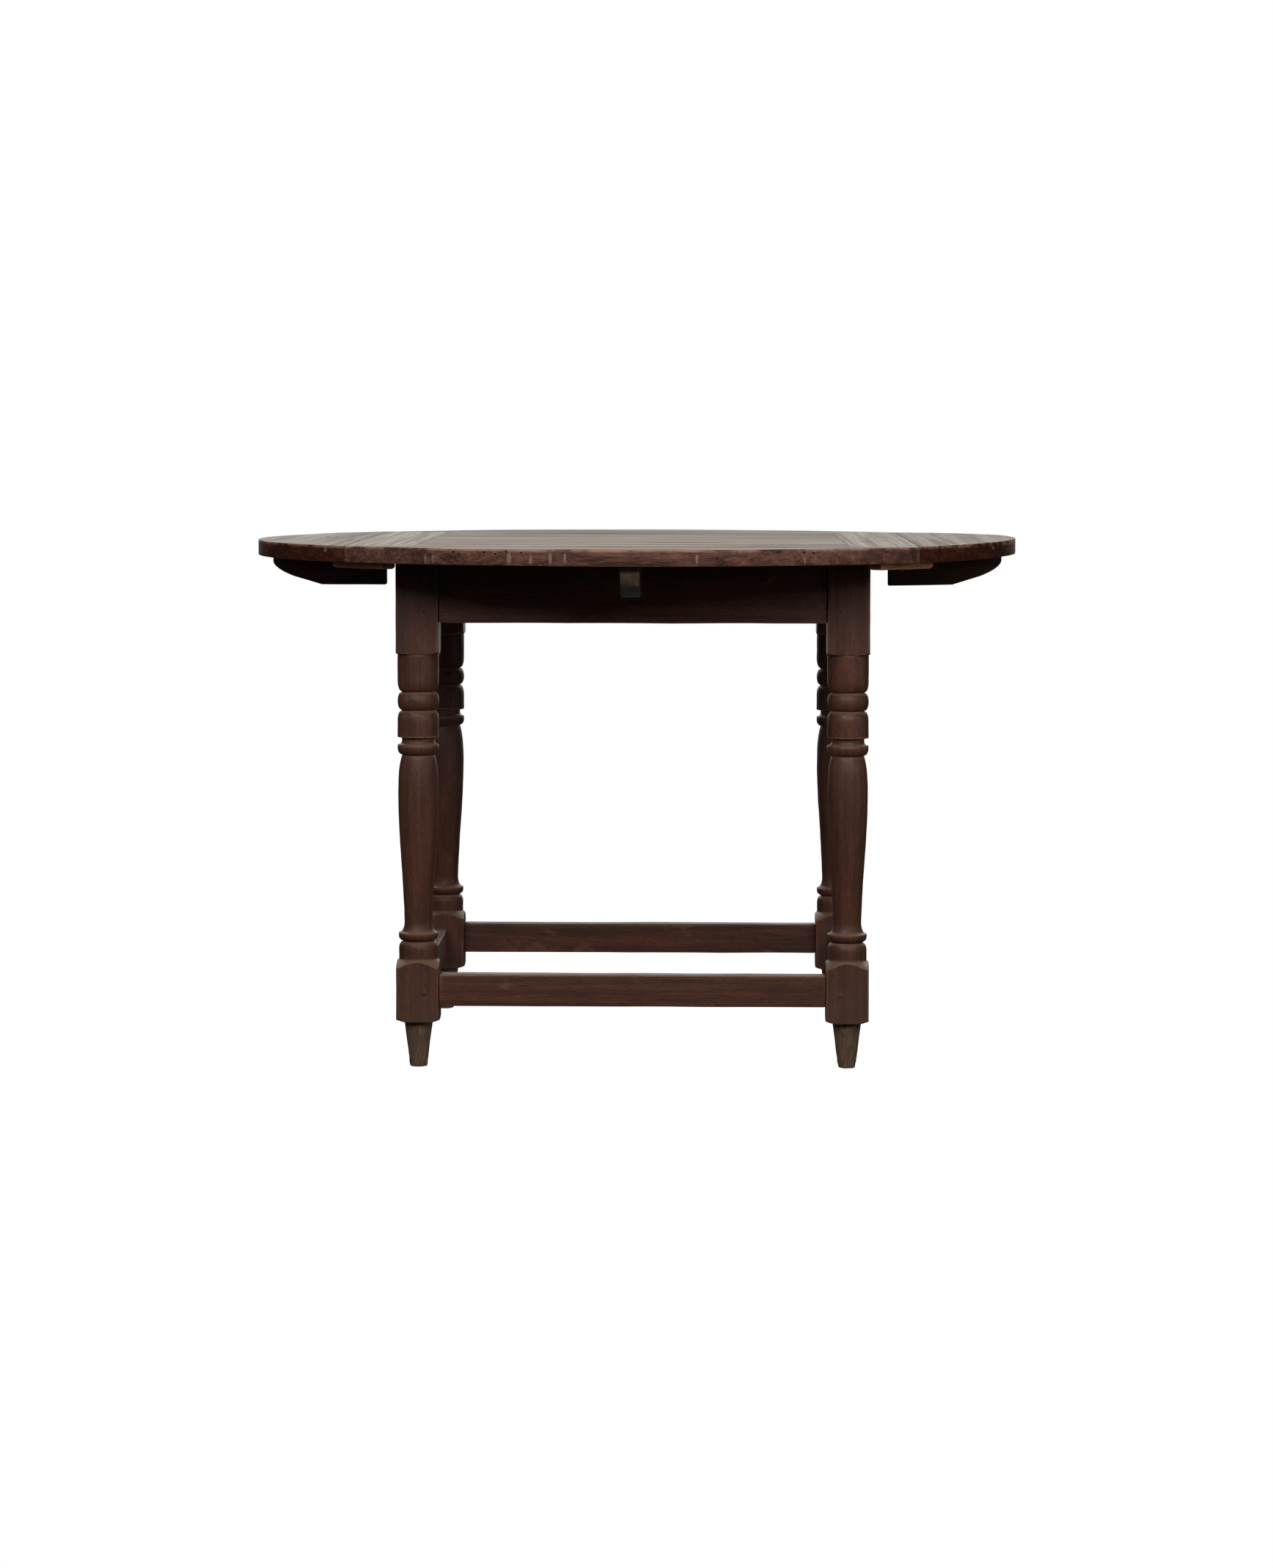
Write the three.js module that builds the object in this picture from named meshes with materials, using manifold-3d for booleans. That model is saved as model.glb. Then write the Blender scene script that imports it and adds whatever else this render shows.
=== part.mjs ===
// Round table with a square fixed centre and four D-shaped leaves on a joined frame of turned legs.
// Millimetres, +Z up, +X to the right, +Y towards the rear. Origin on the floor under the top's centre.

import * as THREE from 'three';
import { mergeVertices } from 'three/addons/utils/BufferGeometryUtils.js';
import Module from 'manifold-3d';

const wasm = await Module();
wasm.setup();

// ---- Driving dimensions ----
// A leg's inset is from the edge of the square centre in to the leg's axis.

const TABLE_HEIGHT = 750;
const TOP_RADIUS = 570;
const TOP_THICKNESS = 23;

const END_BOARD_WIDTH = 97;
const CENTRE_BOARDS = 4;
const TONGUE_THICKNESS = 8;
const TONGUE_LENGTH = 12;

const LEG_INSET_X = 95.8;
const LEG_INSET_Y = 108;
const LEG_WIDTH = 61;
const UPPER_BLOCK_HEIGHT = 134.7;
const LOWER_BLOCK_HEIGHT = 90;
const FOOT_HEIGHT = 64.5;
const FOOT_TIP_RADIUS = 12.5;
const FOOT_TOP_RADIUS = 20.3;
const FOOT_CHAMFER = 1.5;

const APRON_HEIGHT = 89;
const APRON_THICKNESS = 24;
const APRON_SETBACK = 6;
const APRON_TENON_THICKNESS = 8;
const APRON_PEG_RISE = 18;

const STRETCHER_THICKNESS = 27;
const STRETCHER_SETBACK = 8;
const STRETCHER_TENON_THICKNESS = 9;
const STRETCHER_PEG_RISE = 18.5;
const LONG_STRETCHER_HEIGHT = 45.5;
const LONG_STRETCHER_RISE = 24.5;
const SIDE_STRETCHER_HEIGHT = 41.5;
const SIDE_STRETCHER_RISE = 23.5;

const TENON_SHOULDER = 6;
const TENON_WALL = 3;
const PEG_RADIUS = 4;
const PEG_LENGTH = 30;
const PEG_INSET = 10.5;
const PEG_PROUD = 0.4;

const CLEAT_WIDTH = 27;
const CLEAT_DEPTH = 46;
const CLEAT_LAP = 27;
const CLEAT_RIM_SETBACK = 25;
const CLEAT_FLAT_LENGTH = 96;
const CLEAT_SLOPE_LENGTH = 41.5;
const CLEAT_SLOPE_RISE = 12;
const CLEAT_NOSE_DROP = 12;

const BAR_LENGTH = 108;
const BAR_WIDTH = 24;
const BAR_THICKNESS = 9;
const BAR_END_ROUND = 4;
const BAR_CORNER_INSET = 25;

const BLOCK_LENGTH = 90;
const BLOCK_SIZE = 25;
const BLOCK_CHAMFER = 12;

const SCREW_RADIUS = 2.3;
const SCREW_HEAD_RADIUS = 4.6;
const SCREW_HEAD_HEIGHT = 2.6;
const SCREW_BITE = 14;
const SCREW_POINT = 3;
const COUNTERBORE_RADIUS = 6;
const COUNTERBORE_DEPTH = 20;
const CLEAT_SCREW_INSET = 62;

// Depths of the leg's turned grooves below the full turned radius.
const TURNING_ALLOWANCE = 0.8;
const NECK_DEPTH = 9.7;
const GROOVE_DEPTH = 5.4;
const LOWER_GROOVE_DEPTH = 7.2;
const LOWER_DRUM_DEPTH = 1.7;
const COLLAR_NECK_DEPTH = 6.2;

// Where a leg's turnings lie: up from the top of its lower block, and down from the foot of its upper block.
const BLOCK_SHOULDERS = { square: 1.5, shoulder: 5.5, corner: 11.5, lowerTop: 11, upperBottom: 7.5 };
const RISES = { drum: 16, groove: 26, bead: 34, beadTop: 38.5, vase: 54 };
const DROPS = {
  vase: 145,
  collarBottom: 134,
  collarTop: 128,
  neckBottom: 124.5,
  neckTop: 118.5,
  bandBottom: 118.3,
  bandTop: 94,
  lowerGroove: 79.6,
  bead: 66.5,
  upperGroove: 53.3,
  drum: 37,
};
// The vase's swelling: each share of its length, with its radius beyond the neck or short of the full one.
const SWELL_FROM_NECK = [[0, 0], [0.14, 1.4], [0.33, 4], [0.49, 6.8]];
const SWELL_FROM_FULL = [[0.68, 0.9], [0.85, 0.8], [0.955, 2.8], [1, COLLAR_NECK_DEPTH]];

// Clearances between pieces.
const GAP = 0.3;
const LEAF_GAP = 0.8;
const PIVOT_CLEARANCE = 0.4;

// Facets: how finely round stretches are divided.
const LEG_SIDES = 16;
const PEG_SIDES = 10;
const RIM_STEPS = 24;
const ARC_STEPS = 3;

// ---- Worked-out places ----

const UNDERSIDE = TABLE_HEIGHT - TOP_THICKNESS;
const LEG_HALF = LEG_WIDTH / 2;
const LEG_TOP = UNDERSIDE - GAP;
const LOWER_BLOCK_TOP = FOOT_HEIGHT + LOWER_BLOCK_HEIGHT;
const UPPER_BLOCK_BOTTOM = UNDERSIDE - UPPER_BLOCK_HEIGHT;
const CENTRE_HALF = TOP_RADIUS / Math.SQRT2;
const LEG_X = CENTRE_HALF - LEG_INSET_X;
const LEG_Y = CENTRE_HALF - LEG_INSET_Y;
const LEAF_EDGE = CENTRE_HALF + LEAF_GAP;
const CLEAT_INNER = CENTRE_HALF - CLEAT_LAP;
const CLEAT_OUTER = TOP_RADIUS - CLEAT_RIM_SETBACK;
const CLEAT_BOTTOM = UNDERSIDE - CLEAT_DEPTH;
const CLEAT_SCREW_AT = CLEAT_INNER + CLEAT_SCREW_INSET;
const BAR_PIVOT = CENTRE_HALF - BAR_CORNER_INSET;
const BAR_BOTTOM = UNDERSIDE - GAP - BAR_THICKNESS;

// ---- Materials ----

function timber(colour, roughness) {
  return new THREE.MeshStandardMaterial({ color: colour, roughness, metalness: 0 });
}

const WORN_TOP = timber('#8d8478', 0.62);
const PALE_END_BOARD = timber('#a19a8e', 0.64);
const OILED_FRAME = timber('#45302a', 0.5);
const DARK_CLEAT = timber('#33241f', 0.6);
const PALE_BAR = timber('#6e4c3a', 0.6);
const PEG_WOOD = timber('#4f3a30', 0.6);
const OLD_IRON = new THREE.MeshStandardMaterial({ color: '#3a3532', roughness: 0.55, metalness: 0.9 });

// ---- Solids ----

// A closed three.js geometry as a manifold solid, with its doubled vertices merged.
function solidFrom(geometry) {
  geometry.deleteAttribute('normal');
  geometry.deleteAttribute('uv');
  const merged = mergeVertices(geometry, 1e-4);
  const corners = merged.index.array;
  const triangles = [];
  for (let i = 0; i < corners.length; i += 3) {
    const [a, b, c] = corners.slice(i, i + 3);
    if (a !== b && b !== c && c !== a) triangles.push(a, b, c);
  }
  return new wasm.Manifold(new wasm.Mesh({
    numProp: 3,
    vertProperties: new Float32Array(merged.attributes.position.array),
    triVerts: new Uint32Array(triangles),
  }));
}

function namedMesh(name, solid, material) {
  const { vertProperties, triVerts } = solid.getMesh();
  const geometry = new THREE.BufferGeometry();
  geometry.setAttribute('position', new THREE.BufferAttribute(vertProperties, 3));
  geometry.setIndex(new THREE.BufferAttribute(triVerts, 1));
  geometry.computeVertexNormals();
  const mesh = new THREE.Mesh(geometry, material);
  mesh.name = name;
  return mesh;
}

function box(low, high) {
  const size = high.map((value, i) => value - low[i]);
  const middle = high.map((value, i) => (value + low[i]) / 2);
  return solidFrom(new THREE.BoxGeometry(...size).translate(...middle));
}

// An outline in the X-Z plane given thickness across Y, centred on Y = 0.
function plate(shape, width) {
  const geometry = new THREE.ExtrudeGeometry(shape, {
    depth: width,
    bevelEnabled: false,
    curveSegments: ARC_STEPS * 2,
  });
  return solidFrom(geometry.rotateX(Math.PI / 2).translate(0, width / 2, 0));
}

// A profile of [radius, height] points turned about the Z axis.
function turned(profile, sides) {
  const points = profile.map(([radius, height]) => new THREE.Vector2(radius, height));
  return solidFrom(new THREE.LatheGeometry(points, sides).rotateX(Math.PI / 2));
}

function rod(radius, low, high) {
  return turned([[0, low], [radius, low], [radius, high], [0, high]], PEG_SIDES);
}

// A quarter of an ellipse between two profile points; steepFirst leaves the first point along the axis.
function quarter([r0, z0], [r1, z1], steepFirst) {
  const points = [];
  for (let i = 1; i <= ARC_STEPS; i += 1) {
    const angle = (i / ARC_STEPS) * (Math.PI / 2);
    const rise = steepFirst ? Math.sin(angle) : 1 - Math.cos(angle);
    const run = steepFirst ? 1 - Math.cos(angle) : Math.sin(angle);
    points.push([r0 + (r1 - r0) * run, z0 + (z1 - z0) * rise]);
  }
  return points;
}

// ---- Mortise and tenon rails ----

// One kind of rail and the joints at its ends: where it lies in a leg's section, and its tenon.
function railKind({ height, bottom, thickness, setback, tenonThickness, pegRise }) {
  const centre = LEG_HALF - setback - thickness / 2;
  return {
    bottom,
    top: Math.min(bottom + height, LEG_TOP),
    thickness,
    centre,
    tenonHalf: tenonThickness / 2,
    tenonLength: LEG_HALF + centre - tenonThickness / 2 - TENON_WALL,
    tenonBottom: bottom + TENON_SHOULDER,
    tenonTop: bottom + height - TENON_SHOULDER,
    pegHeight: bottom + pegRise,
  };
}

const APRON = railKind({
  height: APRON_HEIGHT,
  bottom: UNDERSIDE - APRON_HEIGHT,
  thickness: APRON_THICKNESS,
  setback: APRON_SETBACK,
  tenonThickness: APRON_TENON_THICKNESS,
  pegRise: APRON_PEG_RISE,
});

function stretcherKind(height, rise) {
  return railKind({
    height,
    bottom: FOOT_HEIGHT + rise,
    thickness: STRETCHER_THICKNESS,
    setback: STRETCHER_SETBACK,
    tenonThickness: STRETCHER_TENON_THICKNESS,
    pegRise: STRETCHER_PEG_RISE,
  });
}

const LONG_STRETCHER = stretcherKind(LONG_STRETCHER_HEIGHT, LONG_STRETCHER_RISE);
const SIDE_STRETCHER = stretcherKind(SIDE_STRETCHER_HEIGHT, SIDE_STRETCHER_RISE);

// A drawbore peg's run across a rail that lies along X, at the positive end of the rear side.
function pegBore(kind, along, across, radius, end) {
  const start = across + LEG_HALF - PEG_LENGTH - end;
  const finish = across + LEG_HALF + PEG_PROUD;
  return rod(radius, -finish, -start)
    .rotate([90, 0, 0])
    .translate([along - PEG_INSET, 0, kind.pegHeight]);
}

// A rail along X on the rear side, whose legs stand at X = +-along and Y = across.
function rail(kind, along, across) {
  const middle = across + kind.centre;
  const bodyEnd = along - LEG_HALF - GAP;
  const tenonEnd = along - LEG_HALF + kind.tenonLength;
  const body = box(
    [-bodyEnd, middle - kind.thickness / 2, kind.bottom],
    [bodyEnd, middle + kind.thickness / 2, kind.top],
  );
  const tenons = box(
    [-tenonEnd, middle - kind.tenonHalf, kind.tenonBottom],
    [tenonEnd, middle + kind.tenonHalf, kind.tenonTop],
  );
  const hole = pegBore(kind, along, across, PEG_RADIUS + GAP, GAP);
  return body.add(tenons).subtract(hole).subtract(hole.mirror([1, 0, 0]));
}

// The mortise and peg hole that a rail along X needs in its leg at the positive end of the rear side.
function mortise(kind, along, across) {
  const middle = across + kind.centre;
  const pocket = box(
    [along - LEG_WIDTH, middle - kind.tenonHalf - GAP, kind.tenonBottom - GAP],
    [along - LEG_HALF + kind.tenonLength + GAP, middle + kind.tenonHalf + GAP, kind.tenonTop + GAP],
  );
  return pocket.add(pegBore(kind, along, across, PEG_RADIUS + GAP, GAP));
}

// Swaps X and Y, which turns what is made for the rear side into the same thing for the right side.
function swapXY(solid) {
  return solid.mirror([1, -1, 0]);
}

// ---- Legs ----

// The outline that the lathe leaves, foot to top. Past the blank's corners it leaves the block square.
function legOutline() {
  const full = LEG_HALF - TURNING_ALLOWANCE;
  const corner = LEG_HALF * Math.SQRT2 + 1;
  const low = LOWER_BLOCK_TOP;
  const high = UPPER_BLOCK_BOTTOM;
  const lowDrum = full - LOWER_DRUM_DEPTH;
  const lowGroove = full - LOWER_GROOVE_DEPTH;
  const groove = full - GROOVE_DEPTH;
  const neck = full - NECK_DEPTH;
  const collarNeck = full - COLLAR_NECK_DEPTH;
  const vaseStart = low + RISES.vase;
  const vaseEnd = high - DROPS.vase;

  const foot = [
    [0, 0],
    [FOOT_TIP_RADIUS - FOOT_CHAMFER, 0],
    [FOOT_TIP_RADIUS, FOOT_CHAMFER],
    [FOOT_TOP_RADIUS, FOOT_HEIGHT],
  ];
  const lowerBlock = [
    [LEG_HALF, FOOT_HEIGHT + BLOCK_SHOULDERS.square],
    [LEG_HALF * 1.2, FOOT_HEIGHT + BLOCK_SHOULDERS.shoulder],
    [corner, FOOT_HEIGHT + BLOCK_SHOULDERS.corner],
    [corner, low - BLOCK_SHOULDERS.lowerTop],
    [lowDrum, low],
  ];
  const lowerTurnings = [
    [lowDrum, low + RISES.drum],
    ...quarter([lowDrum, low + RISES.drum], [lowGroove, low + RISES.groove], true),
    ...quarter([lowGroove, low + RISES.groove], [lowDrum, low + RISES.bead], false),
    [lowDrum, low + RISES.beadTop],
    ...quarter([lowDrum, low + RISES.beadTop], [neck, vaseStart], false),
  ];
  const swell = [
    ...SWELL_FROM_NECK.map(([share, beyond]) => [share, neck + beyond]),
    ...SWELL_FROM_FULL.map(([share, short]) => [share, full - short]),
  ];
  const vaseShape = new THREE.SplineCurve(
    swell.map(([share, radius]) => new THREE.Vector2(radius, vaseStart + (vaseEnd - vaseStart) * share)),
  );
  const vase = vaseShape.getPoints(ARC_STEPS * 3).slice(1).map((point) => [point.x, point.y]);
  const upperTurnings = [
    ...quarter([collarNeck, vaseEnd], [full, high - DROPS.collarBottom], false),
    [full, high - DROPS.collarTop],
    [collarNeck, high - DROPS.neckBottom],
    [collarNeck, high - DROPS.neckTop],
    [full, high - DROPS.bandBottom],
    [full, high - DROPS.bandTop],
    ...quarter([full, high - DROPS.bandTop], [groove, high - DROPS.lowerGroove], true),
    ...quarter([groove, high - DROPS.lowerGroove], [full, high - DROPS.bead], false),
    ...quarter([full, high - DROPS.bead], [groove, high - DROPS.upperGroove], true),
    ...quarter([groove, high - DROPS.upperGroove], [full, high - DROPS.drum], false),
  ];
  const upperBlock = [
    [full, high],
    [corner, high + BLOCK_SHOULDERS.upperBottom],
    [corner, LEG_TOP],
    [0, LEG_TOP],
  ];
  return [...foot, ...lowerBlock, ...lowerTurnings, ...vase, ...upperTurnings, ...upperBlock];
}

// The leg at the right rear corner, turned from a square blank, with its four mortises and peg holes.
function rightRearLeg() {
  const blank = box([-LEG_HALF, -LEG_HALF, 0], [LEG_HALF, LEG_HALF, LEG_TOP]);
  const leg = turned(legOutline(), LEG_SIDES).intersect(blank).translate([LEG_X, LEG_Y, 0]);
  return leg
    .subtract(mortise(APRON, LEG_X, LEG_Y))
    .subtract(mortise(LONG_STRETCHER, LEG_X, LEG_Y))
    .subtract(swapXY(mortise(APRON, LEG_Y, LEG_X)))
    .subtract(swapXY(mortise(SIDE_STRETCHER, LEG_Y, LEG_X)));
}

// ---- Top ----

// One board of the fixed centre, with a tongue along both ends.
function centreBoard(index) {
  const width = (2 * CENTRE_HALF) / CENTRE_BOARDS;
  const low = -CENTRE_HALF + index * width + GAP / 2;
  const high = low + width - GAP;
  const end = CENTRE_HALF - END_BOARD_WIDTH - GAP / 2;
  const middle = TABLE_HEIGHT - TOP_THICKNESS / 2;
  const board = box([-end, low, UNDERSIDE], [end, high, TABLE_HEIGHT]);
  const tongues = box(
    [-end - TONGUE_LENGTH, low, middle - TONGUE_THICKNESS / 2],
    [end + TONGUE_LENGTH, high, middle + TONGUE_THICKNESS / 2],
  );
  return board.add(tongues);
}

// The right end board: its grain crosses the others, and its groove takes their tongues.
function rightEndBoard() {
  const inner = CENTRE_HALF - END_BOARD_WIDTH + GAP / 2;
  const middle = TABLE_HEIGHT - TOP_THICKNESS / 2;
  const grooveHalf = TONGUE_THICKNESS / 2 + GAP;
  const groove = box(
    [inner - TONGUE_LENGTH, -TOP_RADIUS, middle - grooveHalf],
    [inner + TONGUE_LENGTH + GAP, TOP_RADIUS, middle + grooveHalf],
  );
  const pilot = rod(SCREW_RADIUS + GAP, UNDERSIDE - GAP, UNDERSIDE + SCREW_BITE + GAP)
    .translate([BAR_PIVOT, BAR_PIVOT, 0]);
  return box([inner, -CENTRE_HALF, UNDERSIDE], [CENTRE_HALF, CENTRE_HALF, TABLE_HEIGHT])
    .subtract(groove)
    .subtract(pilot)
    .subtract(pilot.mirror([0, 1, 0]));
}

// The right leaf: what the rim's circle leaves outside the square centre.
function rightLeaf() {
  const spread = Math.acos(LEAF_EDGE / TOP_RADIUS);
  const outline = new THREE.Shape();
  outline.absarc(0, 0, TOP_RADIUS, -spread, spread, false);
  outline.closePath();
  const geometry = new THREE.ExtrudeGeometry(outline, {
    depth: TOP_THICKNESS,
    bevelEnabled: false,
    curveSegments: RIM_STEPS,
  });
  const pilot = rod(SCREW_RADIUS + GAP, UNDERSIDE - GAP, UNDERSIDE + SCREW_BITE + GAP)
    .translate([CLEAT_SCREW_AT, 0, 0]);
  return solidFrom(geometry.translate(0, 0, UNDERSIDE)).subtract(pilot);
}

// The cleat under the right leaf. Its inner end laps under the fixed centre and holds the leaf level.
function rightCleat() {
  const top = UNDERSIDE - GAP;
  const slopeStart = CLEAT_INNER + CLEAT_FLAT_LENGTH;
  const slopeEnd = slopeStart + CLEAT_SLOPE_LENGTH;
  const slopeTop = CLEAT_BOTTOM + CLEAT_SLOPE_RISE;
  const noseTop = UNDERSIDE - CLEAT_NOSE_DROP;
  const outline = new THREE.Shape();
  outline.moveTo(CLEAT_INNER, top);
  outline.lineTo(CLEAT_INNER, CLEAT_BOTTOM);
  outline.lineTo(slopeStart, CLEAT_BOTTOM);
  outline.lineTo(slopeEnd, slopeTop);
  outline.quadraticCurveTo(CLEAT_OUTER - 3, (slopeTop + noseTop) / 2, CLEAT_OUTER, noseTop);
  outline.lineTo(CLEAT_OUTER, top);
  outline.closePath();
  const counterbore = rod(COUNTERBORE_RADIUS, CLEAT_BOTTOM - GAP, CLEAT_BOTTOM + COUNTERBORE_DEPTH);
  const shankHole = rod(SCREW_RADIUS + GAP, CLEAT_BOTTOM, UNDERSIDE);
  const bore = counterbore.add(shankHole).translate([CLEAT_SCREW_AT, 0, 0]);
  return plate(outline, CLEAT_WIDTH).subtract(bore);
}

// A round-head wood screw that points up: the head sits below headTop and the thread ends at tip.
function woodScrew(headTop, tip) {
  return turned([
    [0, headTop - SCREW_HEAD_HEIGHT],
    [SCREW_HEAD_RADIUS * 0.6, headTop - SCREW_HEAD_HEIGHT],
    [SCREW_HEAD_RADIUS, headTop - SCREW_HEAD_HEIGHT * 0.35],
    [SCREW_HEAD_RADIUS, headTop],
    [SCREW_RADIUS, headTop],
    [SCREW_RADIUS, tip - SCREW_POINT],
    [0, tip],
  ], PEG_SIDES);
}

// The bar across the right rear corner, with its ends under the two leaves that meet there.
function rightRearBar() {
  const half = BAR_LENGTH / 2;
  const top = UNDERSIDE - GAP;
  const outline = new THREE.Shape();
  outline.moveTo(-half, top);
  outline.lineTo(-half, BAR_BOTTOM + BAR_END_ROUND);
  outline.quadraticCurveTo(-half, BAR_BOTTOM, -half + BAR_END_ROUND, BAR_BOTTOM);
  outline.lineTo(half - BAR_END_ROUND, BAR_BOTTOM);
  outline.quadraticCurveTo(half, BAR_BOTTOM, half, BAR_BOTTOM + BAR_END_ROUND);
  outline.lineTo(half, top);
  outline.closePath();
  const bore = rod(SCREW_RADIUS + PIVOT_CLEARANCE, BAR_BOTTOM - GAP, UNDERSIDE);
  return plate(outline, BAR_WIDTH)
    .subtract(bore)
    .rotate([0, 0, -45])
    .translate([BAR_PIVOT, BAR_PIVOT, 0]);
}

// The rear glue block, in the angle between the apron's inner face and the top.
function rearBlock(across) {
  const face = across + APRON.centre - APRON_THICKNESS / 2 - GAP;
  const top = UNDERSIDE - GAP;
  const outline = new THREE.Shape();
  outline.moveTo(face, top);
  outline.lineTo(face - BLOCK_SIZE, top);
  outline.lineTo(face - BLOCK_SIZE, top - BLOCK_SIZE + BLOCK_CHAMFER);
  outline.lineTo(face - BLOCK_SIZE + BLOCK_CHAMFER, top - BLOCK_SIZE);
  outline.lineTo(face, top - BLOCK_SIZE);
  outline.closePath();
  return swapXY(plate(outline, BLOCK_LENGTH));
}

// ---- Assembly ----

const table = new THREE.Group();
const frame = new THREE.Group();
const fixedTop = new THREE.Group();
table.add(frame, fixedTop);

const ENDS = [['left', -1], ['right', 1]];
const SIDES = [['front', -1], ['rear', 1]];

function toCorner(solid, signX, signY) {
  const sideways = signX < 0 ? solid.mirror([1, 0, 0]) : solid;
  return signY < 0 ? sideways.mirror([0, 1, 0]) : sideways;
}

const leg = rightRearLeg();
const bar = rightRearBar();
const pivotScrew = woodScrew(BAR_BOTTOM - GAP, UNDERSIDE + SCREW_BITE).translate([BAR_PIVOT, BAR_PIVOT, 0]);
const pegs = {
  long_apron_peg: pegBore(APRON, LEG_X, LEG_Y, PEG_RADIUS, 0),
  side_apron_peg: swapXY(pegBore(APRON, LEG_Y, LEG_X, PEG_RADIUS, 0)),
  long_stretcher_peg: pegBore(LONG_STRETCHER, LEG_X, LEG_Y, PEG_RADIUS, 0),
  side_stretcher_peg: swapXY(pegBore(SIDE_STRETCHER, LEG_Y, LEG_X, PEG_RADIUS, 0)),
};

for (const [side, signY] of SIDES) {
  for (const [end, signX] of ENDS) {
    const corner = `${side}_${end}`;
    frame.add(namedMesh(`leg_${corner}`, toCorner(leg, signX, signY), OILED_FRAME));
    for (const [name, peg] of Object.entries(pegs)) {
      frame.add(namedMesh(`${name}_${corner}`, toCorner(peg, signX, signY), PEG_WOOD));
    }
    fixedTop.add(namedMesh(`corner_bar_${corner}`, toCorner(bar, signX, signY), PALE_BAR));
    fixedTop.add(namedMesh(`pivot_screw_${corner}`, toCorner(pivotScrew, signX, signY), OLD_IRON));
  }
}

const longApron = rail(APRON, LEG_X, LEG_Y);
const longStretcher = rail(LONG_STRETCHER, LEG_X, LEG_Y);
const longBlock = rearBlock(LEG_Y);
for (const [side, signY] of SIDES) {
  frame.add(namedMesh(`apron_${side}`, toCorner(longApron, 1, signY), OILED_FRAME));
  frame.add(namedMesh(`stretcher_${side}`, toCorner(longStretcher, 1, signY), OILED_FRAME));
  frame.add(namedMesh(`glue_block_${side}`, toCorner(longBlock, 1, signY), DARK_CLEAT));
}

const sideApron = swapXY(rail(APRON, LEG_Y, LEG_X));
const sideStretcher = swapXY(rail(SIDE_STRETCHER, LEG_Y, LEG_X));
const sideBlock = swapXY(rearBlock(LEG_X));
for (const [end, signX] of ENDS) {
  frame.add(namedMesh(`apron_${end}`, toCorner(sideApron, signX, 1), OILED_FRAME));
  frame.add(namedMesh(`stretcher_${end}`, toCorner(sideStretcher, signX, 1), OILED_FRAME));
  frame.add(namedMesh(`glue_block_${end}`, toCorner(sideBlock, signX, 1), DARK_CLEAT));
  fixedTop.add(namedMesh(`end_board_${end}`, toCorner(rightEndBoard(), signX, 1), PALE_END_BOARD));
}

for (let index = 0; index < CENTRE_BOARDS; index += 1) {
  fixedTop.add(namedMesh(`centre_board_${index + 1}`, centreBoard(index), WORN_TOP));
}

const leaf = rightLeaf();
const cleat = rightCleat();
const cleatScrew = woodScrew(CLEAT_BOTTOM + COUNTERBORE_DEPTH - GAP, UNDERSIDE + SCREW_BITE)
  .translate([CLEAT_SCREW_AT, 0, 0]);
const LEAF_TURNS = { right: 0, rear: 90, left: 180, front: 270 };
for (const [side, turn] of Object.entries(LEAF_TURNS)) {
  const leafGroup = new THREE.Group();
  leafGroup.rotation.z = THREE.MathUtils.degToRad(turn);
  leafGroup.add(namedMesh(`leaf_${side}`, leaf, WORN_TOP));
  leafGroup.add(namedMesh(`cleat_${side}`, cleat, DARK_CLEAT));
  leafGroup.add(namedMesh(`cleat_screw_${side}`, cleatScrew, OLD_IRON));
  table.add(leafGroup);
}

export default table;
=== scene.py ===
"""Round leaf table in dark, oiled teak with a dry, worn top: the looks around the CAD frame."""

import math

import bmesh
import bpy
from mathutils import Matrix, Vector, noise


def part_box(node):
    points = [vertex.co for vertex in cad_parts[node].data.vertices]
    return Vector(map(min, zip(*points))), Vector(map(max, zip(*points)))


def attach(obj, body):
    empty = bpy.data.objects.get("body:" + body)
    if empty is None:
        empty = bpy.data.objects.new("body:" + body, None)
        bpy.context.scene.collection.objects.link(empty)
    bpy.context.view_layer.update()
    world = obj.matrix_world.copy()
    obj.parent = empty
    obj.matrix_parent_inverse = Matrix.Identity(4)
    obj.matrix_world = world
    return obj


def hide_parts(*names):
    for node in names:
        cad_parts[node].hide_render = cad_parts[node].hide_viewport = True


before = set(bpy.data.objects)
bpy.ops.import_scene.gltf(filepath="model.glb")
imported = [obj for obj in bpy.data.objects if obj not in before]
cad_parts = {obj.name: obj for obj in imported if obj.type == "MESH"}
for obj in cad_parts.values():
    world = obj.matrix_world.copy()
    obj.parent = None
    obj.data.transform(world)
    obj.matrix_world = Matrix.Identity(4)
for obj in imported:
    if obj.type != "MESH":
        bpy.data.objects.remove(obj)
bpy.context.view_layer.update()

MM = 0.001
CORNERS = ["front_left", "front_right", "rear_left", "rear_right"]
QUARTERS = {"right": 0, "rear": 90, "left": 180, "front": 270}

# ---- Sizes that the frame's boxes don't give, as the part has them ----

LOWER_BLOCK = (64.5 * MM, 154.5 * MM)
UPPER_BLOCK_HEIGHT = 134.7 * MM
FOOT_TIP_RADIUS = 12.5 * MM
FOOT_TOP_RADIUS = 20.3 * MM
TURNING_ALLOWANCE = 0.8 * MM
CLEAT_FLAT = 96 * MM
CLEAT_SLOPE_END = 137.5 * MM
CLEAT_SLOPE_RISE = 12 * MM
CLEAT_NOSE = 11.7 * MM
BAR_SIZE = (108 * MM, 24 * MM)
SCREW_HEAD_RADIUS = 4.6 * MM
SCREW_HEAD_HEIGHT = 2.6 * MM
SCREW_POINT = 3 * MM

# ---- What age and the workshop add ----

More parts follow.
